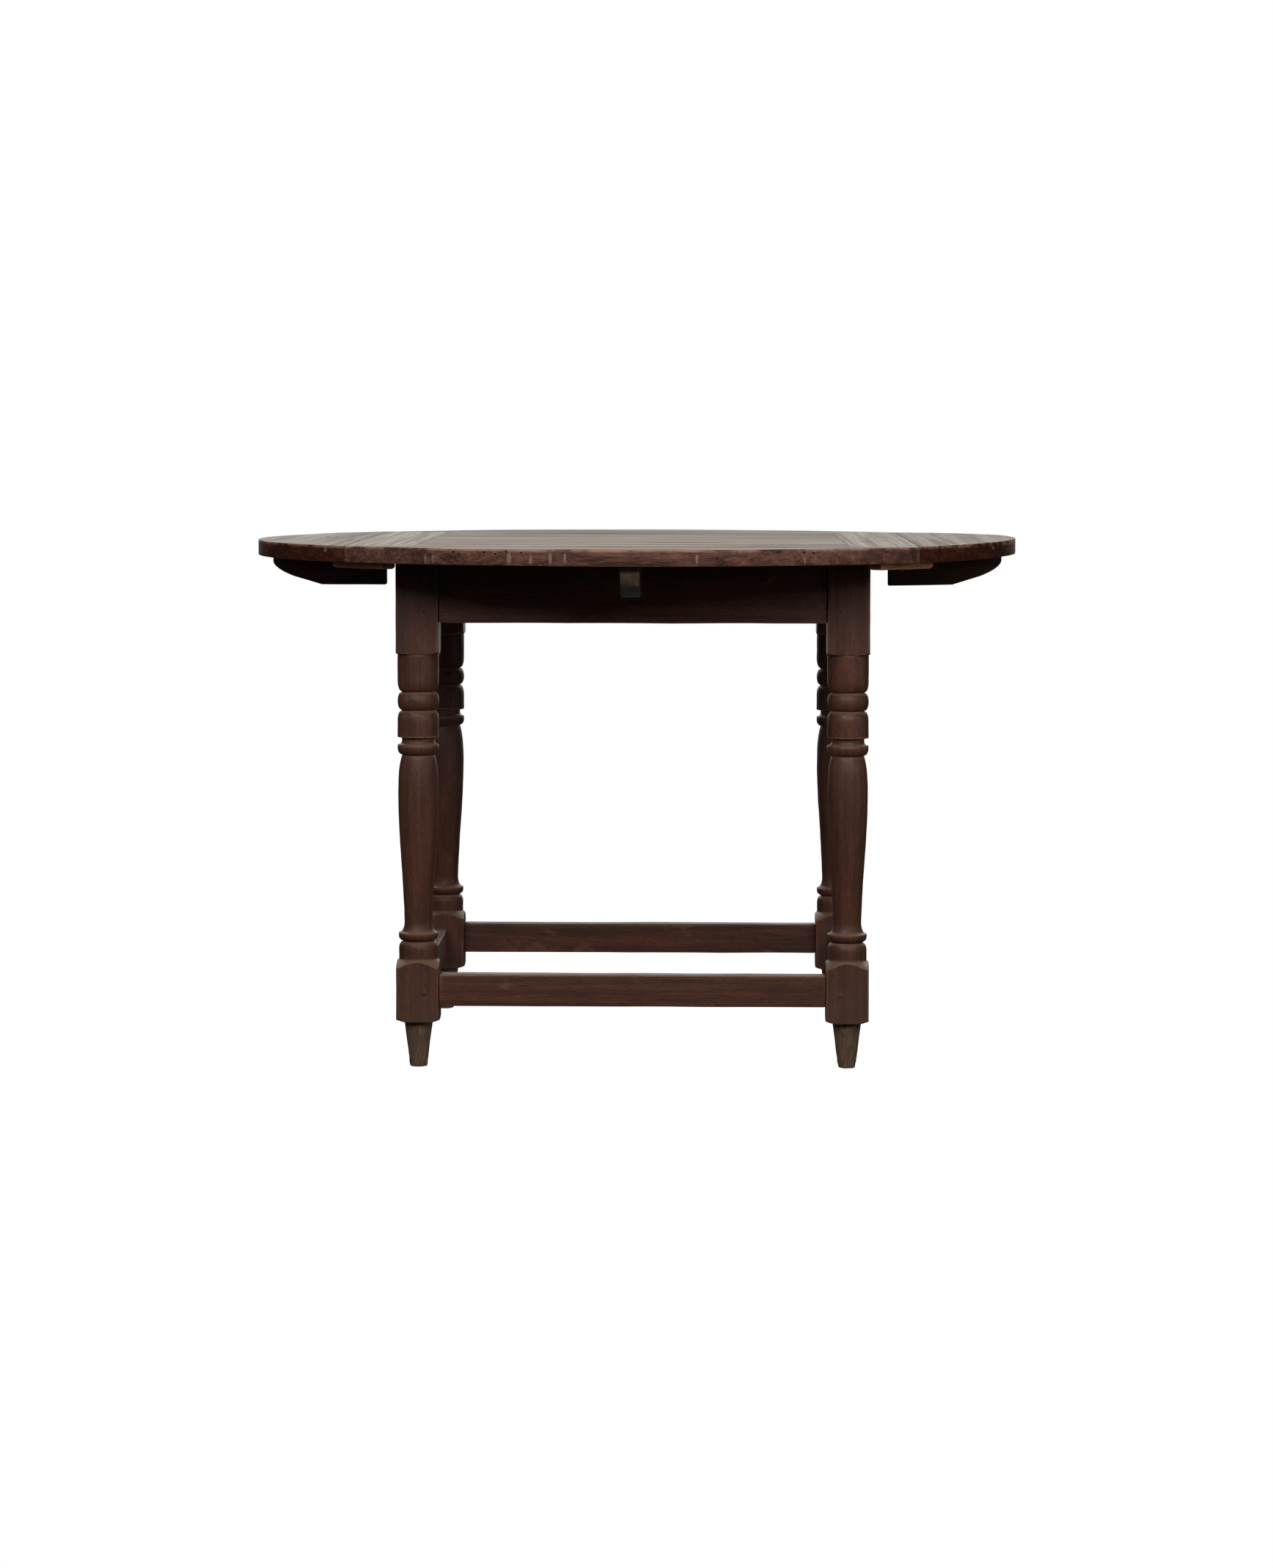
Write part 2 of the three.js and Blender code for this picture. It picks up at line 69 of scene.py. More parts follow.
ARRIS = 1.6 * MM  # how far an edge is rubbed back
BUTT_GAP = 0.3 * MM  # where one timber's end meets another
RIM_ROUND = 3.0 * MM  # the rim's upper edge, where people sit down
END_RIM_ROUND = 1.4 * MM
END_LEAF_SHRINKAGE = 0.03  # across the grain, as a share of the leaf's reach
RIGHT_LEAF_RISE = 0.021  # warp, as a share of the distance from its joint
SCREW_SLOT = (1.1 * MM, 1.1 * MM)  # width and depth

# ---- How finely pieces are divided ----

LEG_STEPS = 112
SCREW_STEPS = 28
SLICE = 38 * MM
WEAR_BAND = 4.0 * MM
SMOOTH_ANGLE = math.radians(32)
SEED_STEP = Vector((0.731, 0.417, 0.193))

# A point's shell factor is 1 on a flat and grows as it sharpens. Wear starts just above 1, and a
# needle point, which is far above it, is given little.

WEAR_START = 1.01
WEAR_GAIN = 14
NEEDLE = 1.7
NEEDLE_WEAR = 0.2

FLOOR_REACH = 8.0

# ---- Materials ----


def srgb(code, alpha=1.0):
    """An sRGB hex colour as the linear values that a shader takes."""
    parts = [int(code[i : i + 2], 16) / 255 for i in (1, 3, 5)]
    linear = [p / 12.92 if p <= 0.04045 else ((p + 0.055) / 1.055) ** 2.4 for p in parts]
    return (*linear, alpha)


def put(tree, kind, inputs=None, **settings):
    """Adds one node with its settings. An input takes a value, or the socket that feeds it."""
    node = tree.nodes.new(kind)
    for name, value in settings.items():
        setattr(node, name, value)
    for name, value in (inputs or {}).items():
        if isinstance(value, bpy.types.NodeSocket):
            tree.links.new(value, node.inputs[name])
        else:
            node.inputs[name].default_value = value
    return node


def ramp(tree, factor, stops):
    """A colour ramp through (place, hex colour) stops."""
    node = put(tree, "ShaderNodeValToRGB", {"Fac": factor})
    elements = node.color_ramp.elements
    while len(elements) < len(stops):
        elements.new(0.5)
    for element, (place, code) in zip(elements, stops):
        element.position = place
        element.color = srgb(code)
    return node.outputs["Color"]


def mask(tree, value, low, high):
    """0 below low, 1 above high, smooth between. low may be above high, which turns it round."""
    node = put(
        tree,
        "ShaderNodeMapRange",
        {"Value": value, "From Min": low, "From Max": high, "To Min": 0.0, "To Max": 1.0},
        interpolation_type="SMOOTHSTEP",
    )
    return node.outputs["Result"]


def mix(tree, factor, one, two):
    """Blends two colours, or two heights, by a factor."""
    node = tree.nodes.new("ShaderNodeMix")
    node.data_type = "RGBA"
    for index, value in ((0, factor), (6, one), (7, two)):
        if isinstance(value, bpy.types.NodeSocket):
            tree.links.new(value, node.inputs[index])
        else:
            node.inputs[index].default_value = value
    return node.outputs[2]


def times(tree, one, two):
    """The product of two values, such as two masks."""
    node = put(tree, "ShaderNodeMath", {0: one, 1: two}, operation="MULTIPLY")
    return node.outputs[0]


def grain_space(tree, turn):
    """Object coordinates turned so that X runs with the grain, moved on by each piece's own seed."""
    place = put(tree, "ShaderNodeTexCoord").outputs["Object"]
    seed = put(tree, "ShaderNodeAttribute", attribute_name="seed").outputs["Vector"]
    moved = put(tree, "ShaderNodeVectorMath", {0: place, 1: seed}, operation="ADD").outputs[0]
    turned = put(tree, "ShaderNodeMapping", {"Vector": moved, "Rotation": turn})
    return turned.outputs["Vector"]


def figure(tree, space, along, across, detail=3.0, roughness=0.55, distortion=0.0):
    """Noise whose features are about `along` millimetres with the grain and `across` over it."""
    scale = (1000 / along, 1000 / across, 1000 / across)
    stretched = put(tree, "ShaderNodeMapping", {"Vector": space, "Scale": scale})
    node = put(
        tree,
        "ShaderNodeTexNoise",
        {
            "Vector": stretched.outputs["Vector"],
            "Scale": 1.0,
            "Detail": detail,
            "Roughness": roughness,
            "Distortion": distortion,
        },
    )
    return node.outputs["Fac"]


def cathedral(tree, space, along, across, rings):
    """Growth rings cut flat: nested arches along the grain, `rings` of them over `across` mm."""
    scale = (1000 / along, 1000 / across, 1000 / across)
    stretched = put(tree, "ShaderNodeMapping", {"Vector": space, "Scale": scale})
    node = put(
        tree,
        "ShaderNodeTexWave",
        {
            "Vector": stretched.outputs["Vector"],
            "Scale": rings,
            "Distortion": 3.2,
            "Detail": 2.0,
            "Detail Scale": 0.7,
            "Detail Roughness": 0.5,
        },
        wave_type="RINGS",
        rings_direction="Z",
    )
    return node.outputs["Fac"]


def dots(tree, space, pitch, size, share):
    """Round holes `size` mm across, one in about `share` of the cells that are `pitch` mm apart."""
    scaled = put(tree, "ShaderNodeMapping", {"Vector": space, "Scale": (1000 / pitch,) * 3})
    cells = put(tree, "ShaderNodeTexVoronoi", {"Vector": scaled.outputs["Vector"], "Scale": 1.0})
    chosen = mask(tree, cells.outputs["Color"], 1 - share, 1 - share + 0.02)
    near = mask(tree, cells.outputs["Distance"], size / pitch * 0.62, size / pitch * 0.4)
    return times(tree, chosen, near)


def spot(tree, centre, size):
    """1 inside one egg-shaped place on the object, given in millimetres, and 0 away from it."""
    place = put(tree, "ShaderNodeTexCoord").outputs["Object"]
    moved = put(
        tree,
        "ShaderNodeMapping",
        {
            "Vector": place,
            "Location": [-c / s for c, s in zip(centre, size)],
            "Scale": [1000 / s for s in size],
        },
    )
    reach = put(tree, "ShaderNodeVectorMath", {0: moved.outputs["Vector"]}, operation="LENGTH")
    return mask(tree, reach.outputs["Value"], 1.0, 0.55)


def shell(name):
    """A new material with its node tree and its Principled shader."""
    material = bpy.data.materials.new(name)
    material.use_nodes = True
    tree = material.node_tree
    return material, tree, tree.nodes["Principled BSDF"]


GRAIN_X = (0, 0, 0)
GRAIN_Y = (0, 0, math.radians(-90))
GRAIN_Z = (0, math.radians(90), 0)
GRAIN_DIAGONAL = (0, 0, math.radians(-45))
GRAIN_COUNTER = (0, 0, math.radians(45))


def oiled_teak(name, turn, tones, worn, ledge="#66503f", roughness=0.45, feet=False):
    """Old teak, planed or turned and oiled: red-brown with darker streaks, satin, rubbed at its edges.

    Long soft streaks give the species, short pores the open grain, and grey dust lies on ledges.
    Feet are dry and grey, because their oil wore off and was never renewed.
    """
    material, tree, shader = shell(name)
    space = grain_space(tree, turn)
    streaks = figure(tree, space, 320, 9, detail=4.0, roughness=0.6)
    fibres = figure(tree, space, 75, 1.9, detail=3.0, roughness=0.65)
    pores = figure(tree, space, 11, 1.2, detail=1.0)
    patches = figure(tree, space, 90, 40, detail=5.0, roughness=0.65)
    specks = figure(tree, space, 3.2, 2.2, detail=1.0)
    colour = ramp(tree, streaks, [(0.26, tones[0]), (0.5, tones[1]), (0.76, tones[2])])
    colour = mix(tree, times(tree, mask(tree, fibres, 0.46, 0.64), 0.40), colour, srgb(tones[2]))
    colour = mix(tree, times(tree, mask(tree, fibres, 0.46, 0.34), 0.32), colour, srgb(tones[0]))
    colour = mix(tree, times(tree, mask(tree, pores, 0.56, 0.66), 0.60), colour, srgb(tones[0]))
    colour = mix(tree, times(tree, mask(tree, patches, 0.48, 0.68), 0.45), colour, srgb(tones[0]))
    colour = mix(tree, times(tree, mask(tree, patches, 0.42, 0.28), 0.35), colour, srgb(worn))
    colour = mix(tree, times(tree, mask(tree, specks, 0.76, 0.82), 0.5), colour, srgb(worn))
    wear = put(tree, "ShaderNodeAttribute", attribute_name="wear").outputs["Fac"]
    rubbed = times(tree, wear, mask(tree, patches, 0.30, 0.55))
    colour = mix(tree, rubbed, colour, srgb(worn))
    normal = put(tree, "ShaderNodeNewGeometry").outputs["Normal"]
    up = put(tree, "ShaderNodeSeparateXYZ", {"Vector": normal}).outputs["Z"]
    dusty = times(tree, mask(tree, up, 0.30, 0.90), 0.8)
    colour = mix(tree, dusty, colour, srgb(ledge))
    if feet:
        place = put(tree, "ShaderNodeTexCoord").outputs["Object"]
        level = put(tree, "ShaderNodeSeparateXYZ", {"Vector": place}).outputs["Z"]
        dry = times(tree, mask(tree, level, LOWER_BLOCK[0] + 1 * MM, LOWER_BLOCK[0] - 2 * MM), 0.85)
        grey = ramp(tree, fibres, [(0.35, "#46372a"), (0.55, "#68533f"), (0.75, "#806a54")])
        colour = mix(tree, dry, colour, grey)
        kicked = times(tree, mask(tree, level, LOWER_BLOCK[1] + 30 * MM, LOWER_BLOCK[0]), 0.30)
        colour = mix(tree, kicked, colour, srgb("#4c3d31"))
    shine = put(
        tree,
        "ShaderNodeMapRange",
        {
            "Value": patches,
            "From Min": 0.3,
            "From Max": 0.7,
            "To Min": roughness - 0.08,
            "To Max": roughness + 0.14,
        },
    )
    height = mix(tree, 0.5, fibres, pores)
    bump = put(tree, "ShaderNodeBump", {"Height": height, "Strength": 0.8, "Distance": 0.5 * MM})
    tree.links.new(colour, shader.inputs["Base Color"])
    tree.links.new(shine.outputs["Result"], shader.inputs["Roughness"])
    tree.links.new(bump.outputs["Normal"], shader.inputs["Normal"])
    shader.inputs["Specular IOR Level"].default_value = 0.24
    return material


def worn_top(name, turn, tones, across, arches, marks=()):
    """Teak boards scrubbed dry: grey-brown with dark streaks of old finish left in the softer grain.

    Long streaks run with the board, arches show where it was sawn flat, and nail and worm holes dot it.
    """
    material, tree, shader = shell(name)
    space = grain_space(tree, turn)
    bands = figure(tree, space, 900, across, detail=3.0, roughness=0.6, distortion=0.3)
    broad = figure(tree, space, 420, across * 0.5, detail=4.0, roughness=0.65, distortion=0.4)
    fibres = figure(tree, space, 90, 3.0, detail=3.0, roughness=0.6)
    stains = figure(tree, space, 210, 80, detail=4.0, roughness=0.6)
    colour = ramp(tree, bands, [(0.32, tones[0]), (0.44, tones[1]), (0.56, tones[2]), (0.70, tones[3])])
    colour = mix(tree, times(tree, mask(tree, broad, 0.50, 0.62), 0.6), colour, srgb(tones[0]))
    colour = mix(tree, times(tree, mask(tree, broad, 0.46, 0.34), 0.5), colour, srgb(tones[3]))
    rings = cathedral(tree, space, 900, 130, 5.0)
    colour = mix(tree, times(tree, mask(tree, rings, 0.66, 0.92), arches), colour, srgb(tones[0]))
    colour = mix(tree, times(tree, mask(tree, fibres, 0.52, 0.66), 0.4), colour, srgb(tones[1]))
    colour = mix(tree, times(tree, mask(tree, stains, 0.54, 0.68), 0.45), colour, srgb("#57463a"))
    wear = put(tree, "ShaderNodeAttribute", attribute_name="wear").outputs["Fac"]
    colour = mix(tree, times(tree, wear, 0.7), colour, srgb("#4e3c31"))
    holes = dots(tree, space, 46, 3.0, 0.16)
    colour = mix(tree, holes, colour, srgb("#120c0a"))
    for centre, size in marks:
        colour = mix(tree, spot(tree, centre, size), colour, srgb("#150f0c"))
    shine = put(
        tree,
        "ShaderNodeMapRange",
        {"Value": stains, "From Min": 0.3, "From Max": 0.7, "To Min": 0.62, "To Max": 0.46},
    )
    gloss = put(
        tree,
        "ShaderNodeMapRange",
        {"Value": bands, "From Min": 0.40, "From Max": 0.58, "To Min": 0.20, "To Max": 0.58},
    )
    tree.links.new(gloss.outputs["Result"], shader.inputs["Specular IOR Level"])
    height = mix(tree, 0.5, broad, fibres)
    bump = put(tree, "ShaderNodeBump", {"Height": height, "Strength": 0.45, "Distance": 0.8 * MM})
    tree.links.new(colour, shader.inputs["Base Color"])
    tree.links.new(shine.outputs["Result"], shader.inputs["Roughness"])
    tree.links.new(bump.outputs["Normal"], shader.inputs["Normal"])
    return material


def rim_teak(name, turn, tones, shine, holes=(), smears=(), patches=()):
    """The sawn and rounded edge of the top: red-brown, handled to a soft shine, with worm holes.

    Its upper arris is rubbed pale and carries a painted highlight where it turns up to the light, drips
    have dried on it, and dark streaks follow the grain.
    """
    material, tree, shader = shell(name)
    space = grain_space(tree, turn)
    streaks = figure(tree, space, 90, 7, detail=5.0, roughness=0.65, distortion=0.6)
    blotches = figure(tree, space, 60, 30, detail=5.0, roughness=0.65)
    fibres = figure(tree, space, 25, 1.6, detail=2.0)
    colour = ramp(tree, streaks, [(0.34, tones[0]), (0.5, tones[1]), (0.68, tones[2])])
    colour = mix(tree, times(tree, mask(tree, blotches, 0.50, 0.66), 0.6), colour, srgb(tones[0]))
    colour = mix(tree, times(tree, mask(tree, blotches, 0.44, 0.30), 0.5), colour, srgb(tones[3]))
    colour = mix(tree, times(tree, mask(tree, fibres, 0.52, 0.70), 0.4), colour, srgb(tones[3]))
    place = put(tree, "ShaderNodeTexCoord").outputs["Object"]
    level = put(tree, "ShaderNodeSeparateXYZ", {"Vector": place}).outputs["Z"]
    # The upper arris band is painted pale: partly wear, partly a painted highlight where the rounded
    # edge turns up to the light.
    arris = times(tree, mask(tree, level, 745 * MM, 749 * MM), mask(tree, blotches, 0.62, 0.42))
    colour = mix(tree, times(tree, arris, 0.8), colour, srgb("#8d6a58"))
    for centre, size in patches:
        torn = times(tree, spot(tree, centre, size), mask(tree, fibres, 0.35, 0.55))
        colour = mix(tree, torn, colour, srgb("#2a1a13"))
    for centre, size in smears:
        drip = times(tree, spot(tree, centre, size), mask(tree, streaks, 0.28, 0.46))
        colour = mix(tree, times(tree, drip, 0.45), colour, srgb("#8f7767"))
    worm = times(tree, dots(tree, space, 13, 2.6, 0.16), mask(tree, level, 737 * MM, 743 * MM))
    for centre in holes:
        hole = spot(tree, centre, WORM_HOLE_SIZE)
        worm = put(tree, "ShaderNodeMath", {0: worm, 1: hole}, operation="MAXIMUM").outputs[0]
    colour = mix(tree, worm, colour, srgb("#080504"))
    bump = put(tree, "ShaderNodeBump", {"Height": streaks, "Strength": 0.55, "Distance": 1.0 * MM})
    pits = put(
        tree,
        "ShaderNodeBump",
        {"Height": worm, "Strength": 1.0, "Distance": 2.0 * MM, "Normal": bump.outputs["Normal"]},
        invert=True,
    )
    tree.links.new(colour, shader.inputs["Base Color"])
    tree.links.new(pits.outputs["Normal"], shader.inputs["Normal"])
    shader.inputs["Roughness"].default_value = 0.52
    shader.inputs["Specular IOR Level"].default_value = shine
    return material


def old_iron():
    """Hand-made wood screws: dull dark iron, browned by rust in patches."""
    material, tree, shader = shell("dull_rusted_iron")
    place = put(tree, "ShaderNodeTexCoord").outputs["Object"]
    rust = put(tree, "ShaderNodeTexNoise", {"Vector": place, "Scale": 900.0, "Detail": 3.0})
    rust = rust.outputs["Fac"]
    colour = ramp(tree, rust, [(0.35, "#2b2725"), (0.6, "#3f3029"), (0.8, "#5b3a28")])
    rough = mask(tree, rust, 0.9, 0.1)
    tree.links.new(colour, shader.inputs["Base Color"])
    tree.links.new(rough, shader.inputs["Roughness"])
    shader.inputs["Metallic"].default_value = 0.7
    return material


# Tones of each wood, dark to light. Rubbed edges show the wood under the oil.

FRAME_TONES = ["#2f1a12", "#45281c", "#553224"]
RAIL_TONES = ["#2e1911", "#482a1e", "#5c3627"]
CLEAT_TONES = ["#22160f", "#35231a", "#463226"]
# The corner bars are one wood in two copies: the pale tones are painted light, the darker tones painted
# shade.
BAR_LIT_TONES = ["#7a4b32", "#a96e4a", "#c58a62"]
BAR_SHADED_TONES = ["#4e2a1c", "#7b4530", "#94583f"]
TOP_TONES = ["#473b30", "#6f6152", "#8c7f6c", "#a3977f"]
PALE_TONES = ["#6b6053", "#857a6c", "#988e7f", "#aaa193"]
LEAF_TONES = ["#5a4f43", "#75695c", "#897e70", "#9c9284"]
RIM_TONES = ["#26150f", "#4e2f24", "#644236", "#745648"]
DARK_RIM_TONES = ["#1f100b", "#36190f", "#4a261a", "#573425"]
# End-grain tones for the cleats' ends: greyish end grain, lightened further as painted light on the
# nose.
END_GRAIN_LIT_TONES = ["#33281f", "#544536", "#6e5c4a"]
PEG_TONES = ["#160d09", "#26170f", "#38271c"]
RUBBED = "#6b4637"
RAIL_RUBBED = "#8c6657"

# Places on the top and its rim, in millimetres on the object, and what lies there.

WORM_HOLE_SIZE = (2.2, 2.2, 1.5)
WORM_HOLES = [
    (-243, -516, 745),
    (-235, -519, 742),
    (-200, -534, 745),
    (-184, -539, 743),
    (-169, -544, 746),
    (-148, -550, 745),
    (203, -533, 746),
    (239, -517, 745),
    (253, -511, 744),
    (355, -446, 744),
    (-301, -484, 741),
    (120, -557, 738),
]
DRIPS = [
    ((-283, -495, 735), (1.6, 4, 8)),
    ((-272, -501, 735), (1.3, 4, 8)),
    ((-165, -546, 737), (4, 6, 10)),
    ((-135, -554, 736), (2.6, 6, 9)),
    ((-108, -560, 737), (3.2, 6, 10)),
    ((-88, -563, 738), (2.4, 6, 9)),
    ((92, -563, 737), (2.2, 6, 9)),
    ((240, -517, 734), (2.0, 6, 6)),
]
SIDE_DRIPS = [((-434, -370, 744), (5, 5, 5)), ((520, -233, 744), (6, 9, 4))]
TORN = [
    ((20, -570, 730), (75, 14, 6)),
    ((-430, -374, 738), (16, 16, 6)),
    ((395, -411, 738), (5, 6, 14)),
]
NAIL_HOLES = [((-346, 384, 750), (4, 60, 4)), ((-470, 60, 750), (3, 26, 4))]

LEG_TEAK = oiled_teak("oiled_teak_upright", GRAIN_Z, FRAME_TONES, RUBBED, feet=True)
RAIL_TEAK = {
    "x": oiled_teak("oiled_teak_long", GRAIN_X, RAIL_TONES, RAIL_RUBBED),
    "y": oiled_teak("oiled_teak_cross", GRAIN_Y, RAIL_TONES, RAIL_RUBBED),
}
CLEAT_TEAK = {
    "x": oiled_teak("dark_teak_cleat_long", GRAIN_X, CLEAT_TONES, "#4b382c", roughness=0.6),
    "y": oiled_teak("dark_teak_cleat_cross", GRAIN_Y, CLEAT_TONES, "#4b382c", roughness=0.6),
}
# The pale copy on the front-right and rear-left bars is painted light; the darker copy on the other two
# is painted shade.
BAR_TEAK = {
    1: oiled_teak("painted_lit_teak_bar", GRAIN_DIAGONAL, BAR_LIT_TONES, "#b98461", roughness=0.6),
    -1: oiled_teak("painted_shade_teak_bar_counter", GRAIN_COUNTER, BAR_SHADED_TONES, "#b98461", roughness=0.6),
}
# The cleats' ends: greyish end grain, also painted lighter to stand in for light on the outward-facing
# nose.
NOSE_TEAK = oiled_teak("cleat_end_grain_painted_lit", GRAIN_Z, END_GRAIN_LIT_TONES, "#6b5848", roughness=0.65)
PEG_TEAK = oiled_teak("end_grain_peg", GRAIN_Z, PEG_TONES, RUBBED, roughness=0.6)
TOP_TEAK = {
    "x": worn_top("scrubbed_teak_long", GRAIN_X, TOP_TONES, 46, 0.25),
    "y": worn_top("scrubbed_teak_cross", GRAIN_Y, LEAF_TONES, 13, 0.7, NAIL_HOLES),
}
PALE_TEAK = worn_top("scrubbed_pale_teak_cross", GRAIN_Y, PALE_TONES, 13, 0.6, NAIL_HOLES)
RIM_TEAK = {
    "x": rim_teak("handled_teak_rim_long", GRAIN_X, RIM_TONES, 0.18, WORM_HOLES, DRIPS, TORN),
    "y": rim_teak("handled_teak_rim_cross", GRAIN_Y, DARK_RIM_TONES, 0.05, [], SIDE_DRIPS, TORN),
}
IRON = old_iron()

# ---- Building a piece ----


def finish_piece(bm, name, materials, node, body, seed):
    """Turns a bmesh into the piece that stands for a CAD node, with its seed and wear attributes."""
    bm.normal_update()
    for face in bm.faces:
        face.smooth = True
    for edge in bm.edges:
        edge.smooth = len(edge.link_faces) == 2 and edge.calc_face_angle(0.0) < SMOOTH_ANGLE
    wear_layer = bm.verts.layers.float.new("wear")
    seed_layer = bm.verts.layers.float_vector.new("seed")
    for vert in bm.verts:
        vert[seed_layer] = SEED_STEP * seed
        turn = vert.calc_shell_factor()
        rubbed = min(max((turn - WEAR_START) * WEAR_GAIN, 0.0), 1.0)
        vert[wear_layer] = rubbed if turn < NEEDLE else NEEDLE_WEAR
    mesh = bpy.data.meshes.new(name)
    bm.to_mesh(mesh)
    bm.free()
    for material in materials:
        mesh.materials.append(material)
    piece = bpy.data.objects.new(name, mesh)
    bpy.context.scene.collection.objects.link(piece)
    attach(piece, body)
    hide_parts(node)
    return piece


def solid_box(low, high):
    """A box between two corners, for planed timber that is then eased and undulated."""
    bm = bmesh.new()
    bmesh.ops.create_cube(bm, size=1.0)
    size = Vector(high) - Vector(low)
    middle = (Vector(high) + Vector(low)) / 2
    bmesh.ops.scale(bm, vec=size, verts=bm.verts)
    bmesh.ops.translate(bm, vec=middle, verts=bm.verts)
    return bm


def prism(outline, thickness):
    """A flat outline of 3-D points pushed along its own normal by a vector."""
    bm = bmesh.new()
    base = bm.faces.new([bm.verts.new(point) for point in outline])
    pushed = bmesh.ops.extrude_face_region(bm, geom=[base])
    moved = [part for part in pushed["geom"] if isinstance(part, bmesh.types.BMVert)]
    bmesh.ops.translate(bm, vec=thickness, verts=moved)
    bmesh.ops.recalc_face_normals(bm, faces=bm.faces)
    return bm


def spin_round(bm, verts, edges, steps):
    """Spins an outline a full turn about Z, as a lathe would, and closes its seam and poles."""
    geom = [*verts, *edges]
    bmesh.ops.spin(
        bm, geom=geom, cent=(0, 0, 0), axis=(0, 0, 1), angle=math.tau, steps=steps, use_merge=True
    )
    bmesh.ops.remove_doubles(bm, verts=bm.verts, dist=1e-6)


def ease(bm, offset, segments=2, chosen=None, angle=40):
    """Rounds every edge that turns by more than the angle, or only the chosen ones."""
    bm.normal_update()
    least = math.radians(angle)
    sharp = [e for e in bm.edges if len(e.link_faces) == 2 and e.calc_face_angle(0.0) > least]
    edges = [e for e in sharp if chosen is None or chosen(e)]
    bmesh.ops.bevel(
        bm, geom=edges, offset=offset, segments=segments, profile=0.5, affect="EDGES", material=-1
    )


def frame_faces(bm, band=WEAR_BAND, axes=((1, 0, 0), (0, 1, 0), (0, 0, 1))):
    """Puts a narrow band round each big flat side, so that wear stays near its arrises."""
    bm.normal_update()
    for axis in map(Vector, axes):
        for sign in (1, -1):
            side = [f for f in bm.faces if (f.normal - axis * sign).length < 0.02]
            if side:
                bmesh.ops.inset_region(bm, faces=side, thickness=band, use_even_offset=True)
                bm.normal_update()


def slice_up(bm, axis, step):
    """Cuts the whole piece across every step along an axis, which gives it points to undulate at."""
    places = [v.co[axis] for v in bm.verts]
    low, high = min(places), max(places)
    count = max(1, round((high - low) / step))
    normal = Vector((0, 0, 0))
    normal[axis] = 1
    for index in range(1, count):
        point = normal * (low + (high - low) * index / count)
        geom = [*bm.verts, *bm.edges, *bm.faces]
        bmesh.ops.bisect_plane(bm, geom=geom, dist=1e-6, plane_co=point, plane_no=normal)


def undulate(bm, amount, size, seed):
    """Moves each point a little along its normal, as an old hand-planed surface waves."""
    bm.normal_update()
    shifts = []
    for vert in bm.verts:
        wave = noise.noise(vert.co / size + Vector((seed * 3.7, seed * 1.9, 0)))
        shifts.append(vert.normal * wave * amount)
    for vert, shift in zip(bm.verts, shifts):
        vert.co += shift


# ---- Legs ----


def quarter(start, end, steep_first, steps=7):
    """Points on a quarter ellipse between two (radius, height) places."""
    points = []
    for i in range(1, steps + 1):
        angle = i / steps * math.pi / 2
        rise = math.sin(angle) if steep_first else 1 - math.cos(angle)
        run = 1 - math.cos(angle) if steep_first else math.sin(angle)
        points.append((start[0] + (end[0] - start[0]) * run, start[1] + (end[1] - start[1]) * rise))
    return points


def stretch(start, end, steps):
    """Points on a straight run between two (radius, height) places, without the first."""
    return [
        (start[0] + (end[0] - start[0]) * i / steps, start[1] + (end[1] - start[1]) * i / steps)
        for i in range(1, steps + 1)
    ]


def swelling(neck, belly, end_radius, low, high):
    """The vase of the leg: slim above its foot, fullest near three quarters of its height."""
    places = [0.0, 0.14, 0.33, 0.49, 0.60, 0.70, 0.80, 0.88, 0.945, 1.0]
    radii = [
        neck,
        neck + 1.4 * MM,
        neck + 4.0 * MM,
        neck + 6.6 * MM,
        belly - 0.95 * MM,
        belly - 0.15 * MM,
        belly,
        belly - 0.7 * MM,
        belly - 2.3 * MM,
        end_radius,
    ]
    points = []
    for i in range(1, 45):
        share = i / 44
        k = max(j for j in range(len(places) - 1) if places[j] <= share)
        before, after = max(k - 1, 0), min(k + 2, len(places) - 1)
        t = (share - places[k]) / (places[k + 1] - places[k])
        width = places[k + 1] - places[k]
        slope_in = (radii[k + 1] - radii[before]) / (places[k + 1] - places[before]) * width
        slope_out = (radii[after] - radii[k]) / (places[after] - places[k]) * width
        smooth = (
            radii[k] * (2 * t**3 - 3 * t**2 + 1)
            + slope_in * (t**3 - 2 * t**2 + t)
            + radii[k + 1] * (-2 * t**3 + 3 * t**2)
            + slope_out * (t**3 - t**2)
        )
        points.append((smooth, low + (high - low) * share))
    return points


